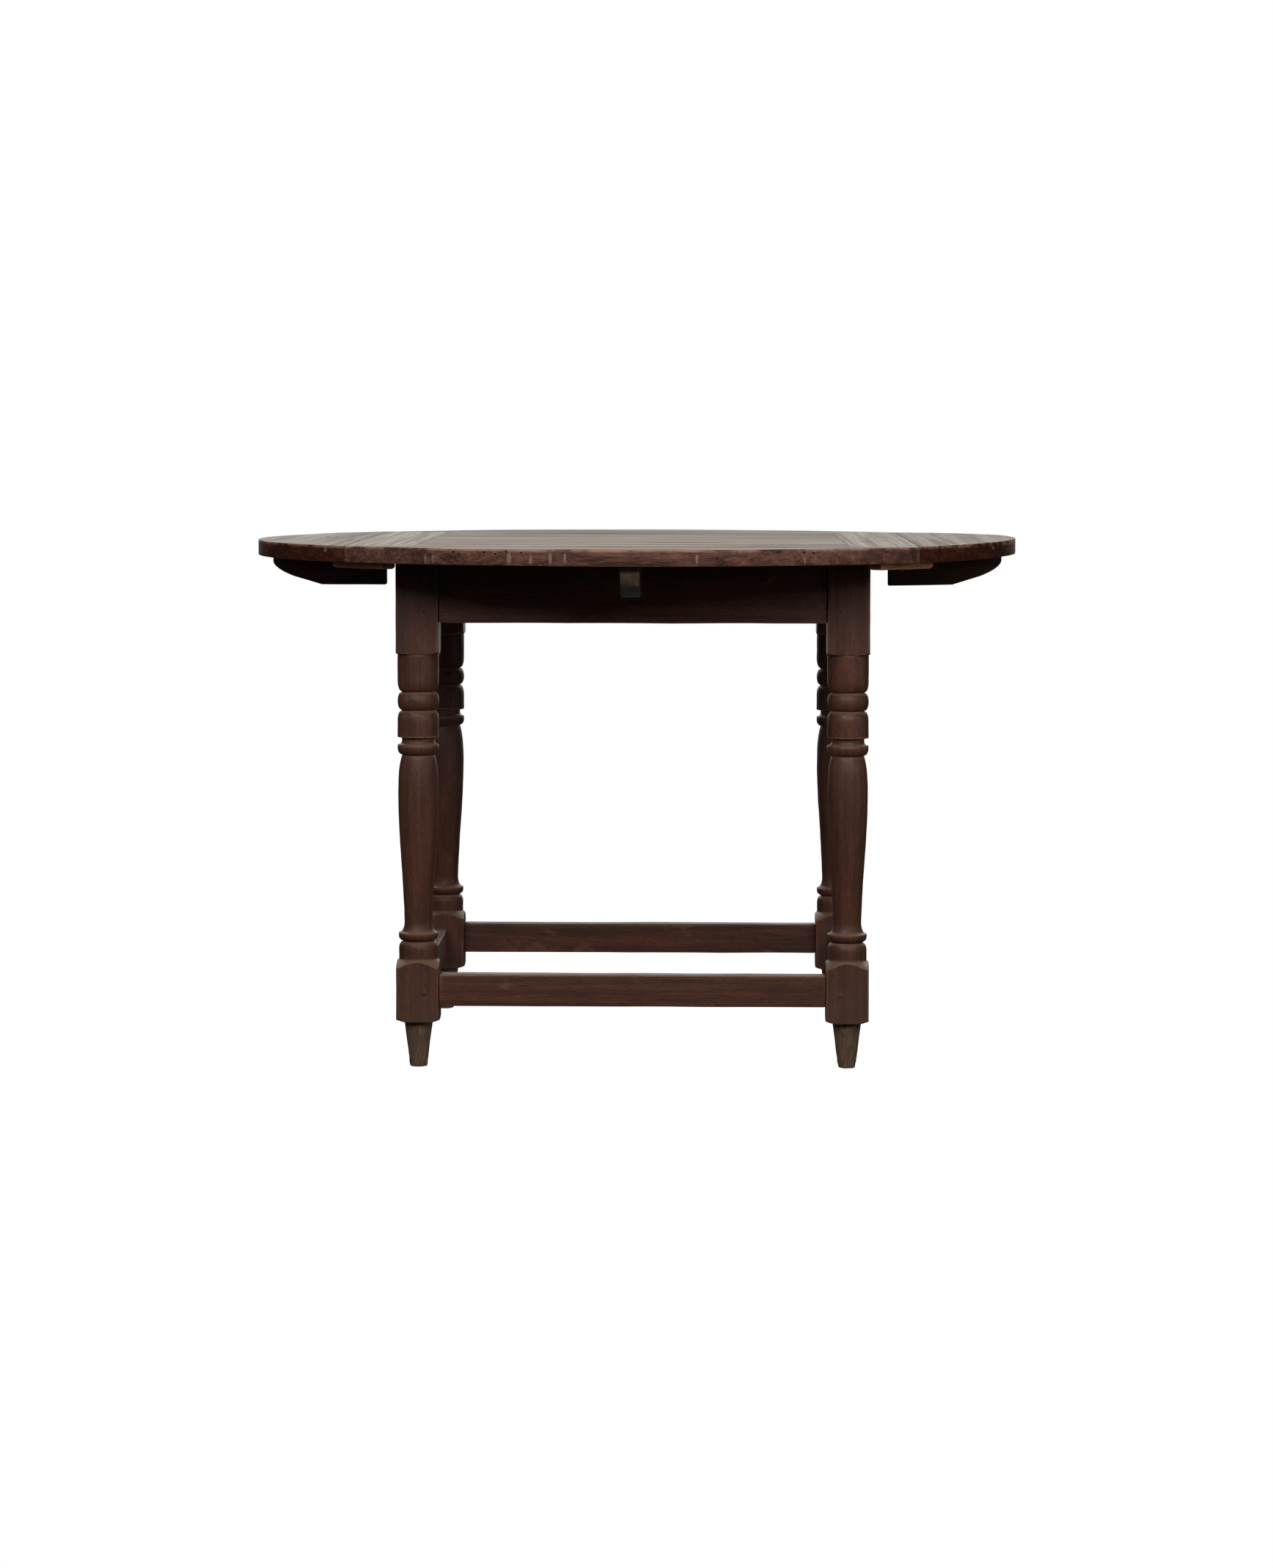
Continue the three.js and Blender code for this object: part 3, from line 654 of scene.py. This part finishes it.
def leg_outline(half, top):
    """The turned outline, foot to top. Past the blank's corners it leaves the blocks square."""
    full = half - TURNING_ALLOWANCE
    corner = half * math.sqrt(2) + 1 * MM
    foot_top, low = LOWER_BLOCK
    high = top - UPPER_BLOCK_HEIGHT
    low_drum = full - 1.7 * MM
    low_groove = full - 7.2 * MM
    groove = full - 5.4 * MM
    neck = full - 9.7 * MM
    collar = full - 6.2 * MM
    vase_end = high - 145 * MM

    # The foot.
    outline = [(0.0, 0.0), (FOOT_TIP_RADIUS * 0.6, 0.0), (FOOT_TIP_RADIUS - 1.5 * MM, 0.0)]
    outline += [(FOOT_TIP_RADIUS - 0.4 * MM, 0.5 * MM), (FOOT_TIP_RADIUS, 1.6 * MM)]
    outline += stretch((FOOT_TIP_RADIUS, 1.6 * MM), (FOOT_TOP_RADIUS, foot_top - 0.6 * MM), 16)
    outline += [(FOOT_TOP_RADIUS + 0.6 * MM, foot_top)]

    # The lower block, cut round below and sloped above.
    outline += [(half - 4 * MM, foot_top + 0.5 * MM), (half - 1.4 * MM, foot_top + 1.5 * MM)]
    outline += [(half, foot_top + 2.8 * MM)]
    outline += quarter((half, foot_top + 2.8 * MM), (corner, foot_top + 14 * MM), False, 12)[:-1]
    outline += [(corner, foot_top + 14 * MM)]
    outline += stretch((corner, foot_top + 14 * MM), (corner, low - 12.5 * MM), 16)
    outline += stretch((corner, low - 12.5 * MM), (half, low - 1.9 * MM), 14)

    # The lower drum, a groove, and the ring that the vase rises from.
    outline += [(half - 0.9 * MM, low - 0.9 * MM), (low_drum + 0.5 * MM, low)]
    outline += [(low_drum, low + 0.6 * MM)]
    outline += stretch((low_drum, low + 0.6 * MM), (low_drum, low + 15 * MM), 5)
    outline += quarter((low_drum, low + 15 * MM), (low_groove, low + 25.5 * MM), True)
    outline += [(low_groove - 0.5 * MM, low + 26.3 * MM), (low_groove, low + 27.1 * MM)]
    outline += quarter((low_groove, low + 27.1 * MM), (low_drum + 0.2 * MM, low + 34 * MM), False)
    outline += [(low_drum + 0.2 * MM, low + 37.6 * MM), (low_drum - 0.4 * MM, low + 38.4 * MM)]

    # The vase.
    outline += quarter((low_drum - 0.4 * MM, low + 38.4 * MM), (neck, low + 54 * MM), False, 10)
    outline += swelling(neck, full - 0.8 * MM, collar + 0.4 * MM, low + 54 * MM, vase_end)

    # The cup over the vase, and the square-edged ring over the cup.
    outline += [(collar - 0.4 * MM, vase_end + 0.9 * MM), (collar + 0.2 * MM, vase_end + 1.7 * MM)]
    outline += quarter((collar + 0.2 * MM, vase_end + 1.7 * MM), (full, high - 134 * MM), False)
    outline += [(full, high - 130.2 * MM), (full - 0.7 * MM, high - 129 * MM)]
    outline += quarter((full - 0.7 * MM, high - 129 * MM), (collar, high - 123.5 * MM), False, 6)
    outline += [(collar, high - 119.2 * MM), (collar + 0.5 * MM, high - 118.6 * MM)]
    outline += [(full - 0.6 * MM, high - 118.4 * MM), (full, high - 117.8 * MM)]
    outline += stretch((full, high - 117.8 * MM), (full, high - 95 * MM), 8)

    # The ball between two grooves.
    outline += quarter((full, high - 95 * MM), (groove, high - 80.6 * MM), True, 9)
    outline += [(groove - 0.5 * MM, high - 79.8 * MM), (groove, high - 79.0 * MM)]
    outline += quarter((groove, high - 79.0 * MM), (full, high - 66.6 * MM), False, 9)
    outline += quarter((full, high - 66.6 * MM), (groove, high - 54.2 * MM), True, 9)
    outline += [(groove - 0.5 * MM, high - 53.4 * MM), (groove, high - 52.6 * MM)]

    # The upper drum and the upper block.
    outline += quarter((groove, high - 52.6 * MM), (full, high - 37 * MM), False, 9)
    outline += stretch((full, high - 37 * MM), (full, high - 0.5 * MM), 12)
    outline += [(half - 1.0 * MM, high + 0.2 * MM), (half, high + 1.2 * MM)]
    outline += quarter((half, high + 1.2 * MM), (corner, high + 9.5 * MM), False, 12)[:-1]
    outline += [(corner, high + 9.5 * MM)]
    outline += stretch((corner, high + 9.5 * MM), (corner, top), 16)
    outline += [(half * 0.5, top), (0.0, top)]
    return outline


def square_off(bm, half, arris=26):
    """Planes the spun blank's sides flat where it is wider than the square, with worn arrises."""
    for vert in bm.verts:
        radius = math.hypot(vert.co.x, vert.co.y)
        if radius < 1e-6:
            continue
        across, along = abs(vert.co.x) / radius, abs(vert.co.y) / radius
        limit = half / (across**arris + along**arris) ** (1 / arris)
        if radius > limit:
            vert.co.x *= limit / radius
            vert.co.y *= limit / radius


def weather_leg(bm, seed):
    """Dents and waves in the blocks, and a chipped and scuffed foot tip."""
    for vert in bm.verts:
        wave = noise.noise(vert.co * 45 + Vector((seed * 5.1, 0, seed * 2.3)))
        fine = noise.noise(vert.co * 160 + Vector((0, seed * 4.1, seed)))
        away = Vector((vert.co.x, vert.co.y, 0))
        if away.length < 1e-6:
            continue
        scuffed = min(max(1 - vert.co.z / (22 * MM), 0), 1)
        flute = noise.noise(Vector((vert.co.x * 150, vert.co.y * 150, vert.co.z * 12 + seed)))
        below = 1.0 if vert.co.z < LOWER_BLOCK[0] else 0.0
        depth = wave * 0.3 + fine * (0.08 + 1.3 * scuffed) + flute * 0.6 * below
        vert.co += away.normalized() * depth * MM


def leg(corner, seed):
    """A leg spun from its outline, then planed square at its blocks."""
    low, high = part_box(f"leg_{corner}")
    half = (high.x - low.x) / 2
    bm = bmesh.new()
    verts = [bm.verts.new((radius, 0, height)) for radius, height in leg_outline(half, high.z)]
    edges = [bm.edges.new(pair) for pair in zip(verts, verts[1:])]
    spin_round(bm, verts, edges, LEG_STEPS)
    square_off(bm, half)
    weather_leg(bm, seed)
    bmesh.ops.recalc_face_normals(bm, faces=bm.faces)
    bmesh.ops.translate(bm, vec=((low.x + high.x) / 2, (low.y + high.y) / 2, 0), verts=bm.verts)
    name = f"leg_{corner}"
    finish_piece(bm, f"turned_{name}", [LEG_TEAK], name, "fixed_table", seed)


# ---- Rails, pegs and blocks ----


def rail(kind, side, seed):
    """A rail's visible length between its two legs; its tenons stay hidden in the legs."""
    name = f"{kind}_{side}"
    low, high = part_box(name)
    axis = 0 if side in ("front", "rear") else 1
    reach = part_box("leg_rear_right")[0][axis] - BUTT_GAP
    low[axis], high[axis] = -reach, reach
    bm = solid_box(low, high)
    ease(bm, ARRIS * 1.3, 3)
    frame_faces(bm)
    slice_up(bm, axis, SLICE)
    undulate(bm, 0.7 * MM, 90 * MM, seed)
    undulate(bm, 0.25 * MM, 14 * MM, seed + 5)
    material = RAIL_TEAK["x" if axis == 0 else "y"]
    finish_piece(bm, f"worn_{name}", [material], name, "fixed_table", seed)


def peg(kind, corner, seed):
    """A whittled drawbore peg: eight uneven flats, tapering, with a slightly domed end left proud."""
    name = f"{kind}_{corner}"
    low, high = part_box(name)
    along = max(range(3), key=lambda axis: high[axis] - low[axis])
    length = high[along] - low[along]
    radius = (high.z - low.z) / 2
    bm = bmesh.new()
    bmesh.ops.create_cone(
        bm, cap_ends=True, segments=8, radius1=radius * 0.8, radius2=radius * 0.98, depth=length
    )
    ease(bm, 0.5 * MM, 2, angle=60)
    for vert in bm.verts:
        shift = noise.noise(vert.co * 400 + Vector((seed, seed * 2, 0)))
        vert.co += Vector((vert.co.x, vert.co.y, 0)) * shift * 0.10
    outward = 1 if (low[along] + high[along]) > 0 else -1
    direction = Vector((0, 0, 0))
    direction[along] = outward
    turn = Vector((0, 0, 1)).rotation_difference(direction).to_matrix()
    bmesh.ops.rotate(bm, cent=(0, 0, 0), matrix=turn, verts=bm.verts)
    bmesh.ops.translate(bm, vec=(low + high) / 2, verts=bm.verts)
    finish_piece(bm, f"whittled_{name}", [PEG_TEAK], name, "fixed_table", seed)


def glue_block(side, seed):
    """A rubbed glue block with its free arris chamfered off."""
    name = f"glue_block_{side}"
    low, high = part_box(name)
    bm = solid_box(low, high)
    axis = 1 if side in ("front", "rear") else 0
    inward = high if (low[axis] + high[axis]) < 0 else low

    def free_arris(edge):
        middle = (edge.verts[0].co + edge.verts[1].co) / 2
        return abs(middle[axis] - inward[axis]) < 1e-5 and abs(middle.z - low.z) < 1e-5

    ease(bm, 12 * MM, 1, free_arris)
    ease(bm, 0.8 * MM, 2)
    frame_faces(bm, 2 * MM)
    material = CLEAT_TEAK["x" if axis == 1 else "y"]
    finish_piece(bm, f"rubbed_{name}", [material], name, "fixed_table", seed)


# ---- Top ----


def by_facing(bm, top_index, side_index, under_index):
    """Gives upward, sideways and downward faces their own finish. A rounded rim counts as a side."""
    bm.normal_update()
    for face in bm.faces:
        if face.normal.z > 0.93:
            face.material_index = top_index
        elif face.normal.z < -0.5:
            face.material_index = under_index
        else:
            face.material_index = side_index


def centre_board(index, seed):
    """One board of the fixed square, between the two end boards; its tongues stay hidden in them."""
    name = f"centre_board_{index}"
    low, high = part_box(name)
    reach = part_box("end_board_right")[0].x - BUTT_GAP
    low.x, high.x = -reach, reach
    bm = solid_box(low, high)
    ease(bm, ARRIS * 0.6, 2)
    frame_faces(bm, 5 * MM)
    slice_up(bm, 0, SLICE)
    slice_up(bm, 1, SLICE)
    undulate(bm, 0.55 * MM, 120 * MM, seed)
    by_facing(bm, 0, 1, 1)
    finishes = [TOP_TEAK["x"], RAIL_TEAK["x"]]
    finish_piece(bm, f"scrubbed_{name}", finishes, name, "fixed_table", seed)


def end_board(side, seed):
    """The board across the ends of the centre boards, with its grain front to back."""
    name = f"end_board_{side}"
    low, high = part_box(name)
    bm = solid_box(low, high)
    ease(bm, ARRIS * 0.6, 2)
    frame_faces(bm, 5 * MM)
    slice_up(bm, 0, SLICE)
    slice_up(bm, 1, SLICE)
    undulate(bm, 0.5 * MM, 110 * MM, seed)
    by_facing(bm, 0, 1, 1)
    finishes = [PALE_TEAK, RAIL_TEAK["y"]]
    finish_piece(bm, f"scrubbed_{name}", finishes, name, "fixed_table", seed)


def warp_up(bm, side):
    """The right leaf has warped upwards from its joint with the years, and its cleat goes with it."""
    if side != "right":
        return
    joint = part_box("leaf_right")[0].x
    for vert in bm.verts:
        vert.co.z += (vert.co.x - joint) * RIGHT_LEAF_RISE


def leaf(side, seed):
    """A D-shaped leaf: the disc's segment outside the square, rounded at its rim by years of hands."""
    name = f"leaf_{side}"
    low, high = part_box(name)
    radius = max(abs(low.x), abs(high.x), abs(low.y), abs(high.y))
    turn = math.radians(QUARTERS[side])
    outward = Vector((math.cos(turn), math.sin(turn), 0))
    chord = min(abs(corner.dot(outward)) for corner in (low, high))
    bm = bmesh.new()
    bmesh.ops.create_circle(bm, cap_ends=True, radius=radius, segments=360)
    geom = [*bm.verts, *bm.edges, *bm.faces]
    bmesh.ops.bisect_plane(bm, geom=geom, plane_co=outward * chord, plane_no=outward, clear_inner=True)
    bmesh.ops.translate(bm, vec=(0, 0, low.z), verts=bm.verts)
    pushed = bmesh.ops.extrude_face_region(bm, geom=bm.faces[:])
    raised = [part for part in pushed["geom"] if isinstance(part, bmesh.types.BMVert)]
    bmesh.ops.translate(bm, vec=(0, 0, high.z - low.z), verts=raised)
    bmesh.ops.recalc_face_normals(bm, faces=bm.faces)

    def on_rim(edge):
        middle = (edge.verts[0].co + edge.verts[1].co) / 2
        flat = abs(edge.verts[0].co.z - edge.verts[1].co.z) < 1e-6
        return flat and middle.dot(outward) > chord + 0.5 * MM

    worn = RIM_ROUND if side in ("front", "rear") else END_RIM_ROUND
    ease(bm, worn, 4, lambda edge: on_rim(edge) and edge.verts[0].co.z > high.z - 1e-5)
    ease(bm, ARRIS, 2, lambda edge: on_rim(edge) and edge.verts[0].co.z < low.z + 1e-5)
    frame_faces(bm, 4 * MM, axes=((0, 0, 1),))
    slice_up(bm, 0, SLICE)
    slice_up(bm, 1, SLICE)
    undulate(bm, 0.5 * MM, 110 * MM, seed)
    for vert in bm.verts:
        inward = chord - vert.co.dot(outward)
        if inward > 0:
            vert.co += outward * inward
        reach = math.hypot(vert.co.x, vert.co.y)
        if reach > radius:
            vert.co.x, vert.co.y = vert.co.x * radius / reach, vert.co.y * radius / reach
        vert.co.z = max(vert.co.z, low.z)
        if side in ("left", "right"):
            vert.co -= outward * (vert.co.dot(outward) - chord) * END_LEAF_SHRINKAGE
    warp_up(bm, side)
    by_facing(bm, 0, 1, 2)
    grain = "x" if side in ("front", "rear") else "y"
    finishes = [TOP_TEAK[grain], RIM_TEAK[grain], RAIL_TEAK[grain]]
    finish_piece(bm, f"scrubbed_{name}", finishes, name, f"{side}_leaf", seed)


def cleat(side, seed):
    """The cleat's outline lies along its leaf's radius: flat, then sloped, then a rounded nose."""
    name = f"cleat_{side}"
    low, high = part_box(name)
    turn = math.radians(QUARTERS[side])
    outward = Vector((math.cos(turn), math.sin(turn), 0))
    sideways = Vector((-math.sin(turn), math.cos(turn), 0))
    reach = sorted(abs(corner.dot(outward)) for corner in (low, high))
    width = max(abs(corner.dot(sideways)) for corner in (low, high)) * 2
    inner, outer = reach
    flat_end, slope_end = inner + CLEAT_FLAT, inner + CLEAT_SLOPE_END
    slope_top, nose_top = low.z + CLEAT_SLOPE_RISE, high.z - CLEAT_NOSE
    profile = [(inner, high.z), (inner, low.z), (flat_end, low.z), (slope_end, slope_top)]
    bend = (outer - 3 * MM, (slope_top + nose_top) / 2)
    for i in range(1, 13):
        t = i / 12
        profile.append(
            (
                slope_end * (1 - t) ** 2 + 2 * bend[0] * t * (1 - t) + outer * t**2,
                slope_top * (1 - t) ** 2 + 2 * bend[1] * t * (1 - t) + nose_top * t**2,
            )
        )
    profile.append((outer, high.z))
    points = [outward * run - sideways * width / 2 + Vector((0, 0, rise)) for run, rise in profile]
    bm = prism(points, sideways * width)
    ease(bm, ARRIS, 3)
    frame_faces(bm, 3 * MM)
    slice_up(bm, 0 if side in ("left", "right") else 1, SLICE / 2)
    undulate(bm, 0.4 * MM, 60 * MM, seed)
    warp_up(bm, side)
    bm.normal_update()
    for face in bm.faces:
        # The cleat's end faces take the end-grain finish: real end grain, painted lighter as light on
        # the nose.
        face.material_index = 1 if abs(face.normal.dot(outward)) > 0.45 else 0
    finishes = [CLEAT_TEAK["x" if side in ("left", "right") else "y"], NOSE_TEAK]
    finish_piece(bm, f"shaped_{name}", finishes, name, f"{side}_leaf", seed)


def corner_bar(corner, seed):
    """The thin bar across a corner of the square, with its lower ends rounded over."""
    name = f"corner_bar_{corner}"
    low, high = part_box(name)
    middle = (low + high) / 2
    sign = 1 if middle.x * middle.y > 0 else -1
    along = Vector((1, -sign, 0)).normalized()
    across = Vector((1, sign, 0)).normalized()
    length, width = BAR_SIZE
    bm = solid_box((-length / 2, -width / 2, low.z), (length / 2, width / 2, high.z))

    def lower_end(edge):
        ends = edge.verts[0].co, edge.verts[1].co
        return all(abs(abs(e.x) - length / 2) < 1e-5 and abs(e.z - low.z) < 1e-5 for e in ends)

    ease(bm, 4 * MM, 4, lower_end)
    ease(bm, 0.9 * MM, 2)
    frame_faces(bm, 2.5 * MM)
    slice_up(bm, 0, 12 * MM)
    undulate(bm, 0.3 * MM, 30 * MM, seed)
    turn = Matrix((along, across, (0, 0, 1))).transposed()
    bmesh.ops.rotate(bm, cent=(0, 0, 0), matrix=turn, verts=bm.verts)
    bmesh.ops.recalc_face_normals(bm, faces=bm.faces)
    bmesh.ops.translate(bm, vec=(middle.x, middle.y, 0), verts=bm.verts)
    for vert in bm.verts:
        vert.co.z = min(vert.co.z, high.z)
    # Each bar takes the painted-lit or the painted-shade copy of its wood, according to its corner.
    finish_piece(bm, f"thin_{name}", [BAR_TEAK[-sign]], name, f"bar_{corner}", seed)


def wood_screw(name, body, seed):
    """A slotted round-head screw that points up, with its head at the bottom."""
    low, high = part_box(name)
    middle = (low + high) / 2
    head = SCREW_HEAD_RADIUS
    shank = head * 0.5
    rim = low.z + SCREW_HEAD_HEIGHT
    profile = [(0.0, low.z), (head * 0.6, low.z), (head * 0.88, low.z + 0.5 * MM)]
    profile += [(head, rim - 0.9 * MM), (head, rim), (shank, rim)]
    profile += [(shank, high.z - SCREW_POINT), (0.0, high.z)]
    bm = bmesh.new()
    verts = [bm.verts.new((radius, 0, height)) for radius, height in profile]
    edges = [bm.edges.new(pair) for pair in zip(verts, verts[1:])]
    spin_round(bm, verts, edges, SCREW_STEPS)
    bmesh.ops.recalc_face_normals(bm, faces=bm.faces)
    slot_turn = Matrix.Rotation(seed * 1.3, 3, "Z") @ Vector((1, 0, 0))
    slot_width, slot_depth = SCREW_SLOT
    for side in (1, -1):
        geom = [*bm.verts, *bm.edges, *bm.faces]
        edge = slot_turn * side * slot_width / 2
        bmesh.ops.bisect_plane(bm, geom=geom, dist=1e-6, plane_co=edge, plane_no=slot_turn)
    bm.normal_update()
    slot = [
        f
        for f in bm.faces
        if f.normal.z < -0.9 and abs(f.calc_center_median().dot(slot_turn)) < slot_width * 0.45
    ]
    cut = bmesh.ops.extrude_face_region(bm, geom=slot)
    bmesh.ops.delete(bm, geom=slot, context="FACES")
    sunk = [part for part in cut["geom"] if isinstance(part, bmesh.types.BMVert)]
    bmesh.ops.translate(bm, vec=(0, 0, slot_depth), verts=sunk)
    bmesh.ops.recalc_face_normals(bm, faces=bm.faces)
    bmesh.ops.translate(bm, vec=(middle.x, middle.y, 0), verts=bm.verts)
    finish_piece(bm, f"slotted_{name}", [IRON], name, body, seed)


# ---- The table ----

seeds = iter(range(1, 200))
for corner in CORNERS:
    leg(corner, next(seeds))
    for kind in ("long_apron_peg", "side_apron_peg", "long_stretcher_peg", "side_stretcher_peg"):
        peg(kind, corner, next(seeds))
    corner_bar(corner, next(seeds))
    wood_screw(f"pivot_screw_{corner}", "fixed_table", next(seeds))
for side in QUARTERS:
    rail("apron", side, next(seeds))
    rail("stretcher", side, next(seeds))
    glue_block(side, next(seeds))
    leaf(side, next(seeds))
    cleat(side, next(seeds))
    wood_screw(f"cleat_screw_{side}", f"{side}_leaf", next(seeds))
for index in range(1, 5):
    centre_board(index, next(seeds))
for side in ("left", "right"):
    end_board(side, next(seeds))

# ---- Studio ----


def softbox(name, azimuth, elevation, distance, width, height, watts):
    """An area light that faces the top's edge. Azimuth 0 is in front, 90 to the right."""
    data = bpy.data.lights.new(name, "AREA")
    data.shape = "RECTANGLE"
    data.size, data.size_y, data.energy = width, height, watts
    lamp = bpy.data.objects.new(name, data)
    a, e = math.radians(azimuth), math.radians(elevation)
    back = Vector((math.sin(a) * math.cos(e), -math.cos(a) * math.cos(e), math.sin(e)))
    lamp.location = Vector((0, 0, 0.6)) + back * distance
    lamp.rotation_mode = "QUATERNION"
    lamp.rotation_quaternion = back.to_track_quat("Z", "Y")
    bpy.context.scene.collection.objects.link(lamp)


def floor():
    """A plain white floor. It is clear from below, so that the underside can be looked at."""
    material, tree, shader = shell("plain_white_floor")
    tree.nodes.remove(shader)
    seen = put(tree, "ShaderNodeLightPath").outputs["Is Camera Ray"]
    below = put(tree, "ShaderNodeNewGeometry").outputs["Backfacing"]
    above = put(tree, "ShaderNodeMath", {0: 1.0, 1: below}, operation="SUBTRACT").outputs[0]
    clear = put(tree, "ShaderNodeBsdfTransparent").outputs["BSDF"]
    white = put(tree, "ShaderNodeEmission").outputs["Emission"]
    both = put(tree, "ShaderNodeMixShader", {0: times(tree, seen, above), 1: clear, 2: white})
    tree.links.new(both.outputs["Shader"], tree.nodes["Material Output"].inputs["Surface"])
    bm = bmesh.new()
    bmesh.ops.create_grid(bm, x_segments=1, y_segments=1, size=FLOOR_REACH)
    bmesh.ops.translate(bm, vec=(0, 0, -0.5 * MM), verts=bm.verts)
    mesh = bpy.data.meshes.new("floor")
    bm.to_mesh(mesh)
    bm.free()
    mesh.materials.append(material)
    plane = bpy.data.objects.new("floor", mesh)
    bpy.context.scene.collection.objects.link(plane)


def studio():
    """Two keys from the front, weak sides, a broad rear light for the rim, and fill from all round."""
    softbox("left_key", -17, 26, 3.6, 1.4, 1.2, 61)
    softbox("right_key", 24, 23, 3.6, 1.5, 1.25, 51)
    softbox("left_side", -70, 12, 3.6, 1.0, 1.0, 9)
    softbox("right_side", 62, 8, 3.6, 1.0, 1.1, 15)
    softbox("rear_left", -146, 30, 3.8, 1.4, 1.2, 34)
    softbox("rear_right", 146, 30, 3.8, 1.4, 1.2, 34)
    softbox("backdrop", 180, 9, 3.6, 4.0, 1.6, 31)
    softbox("overhead", 0, 68, 3.2, 2.6, 2.2, 42)
    softbox("floor_bounce", 180, -76, 2.8, 2.6, 2.2, 10)
    world = bpy.data.worlds.new("white_studio")
    bpy.context.scene.world = world
    world.use_nodes = True
    tree = world.node_tree
    seen = put(tree, "ShaderNodeLightPath").outputs["Is Camera Ray"]
    level = put(
        tree,
        "ShaderNodeMapRange",
        {"Value": seen, "From Min": 0.0, "From Max": 1.0, "To Min": 0.038, "To Max": 1.0},
    )
    background = tree.nodes["Background"]
    background.inputs["Color"].default_value = (1, 1, 1, 1)
    tree.links.new(level.outputs["Result"], background.inputs["Strength"])
    bpy.context.scene.view_settings.view_transform = "Standard"


CAMERA_PLACE = (0.1130, -6.1216, 0.9138)
CAMERA_PITCH = 0.04842
CAMERA_YAW = 0.01854
CAMERA_ROLL = 0.0014
CAMERA_LENS = 93.77
CAMERA_SHIFT = -0.1


def camera():
    """A long lens a little above the top, looking straight at the front."""
    data = bpy.data.cameras.new("camera")
    data.lens, data.sensor_width = CAMERA_LENS, 36
    data.shift_y = CAMERA_SHIFT
    eye = bpy.data.objects.new("camera", data)
    eye.location = CAMERA_PLACE
    eye.rotation_euler = (math.pi / 2 - CAMERA_PITCH, 0, CAMERA_YAW)
    eye.rotation_euler.rotate_axis("Z", CAMERA_ROLL)
    bpy.context.scene.collection.objects.link(eye)
    bpy.context.scene.camera = eye


floor()
studio()
camera()
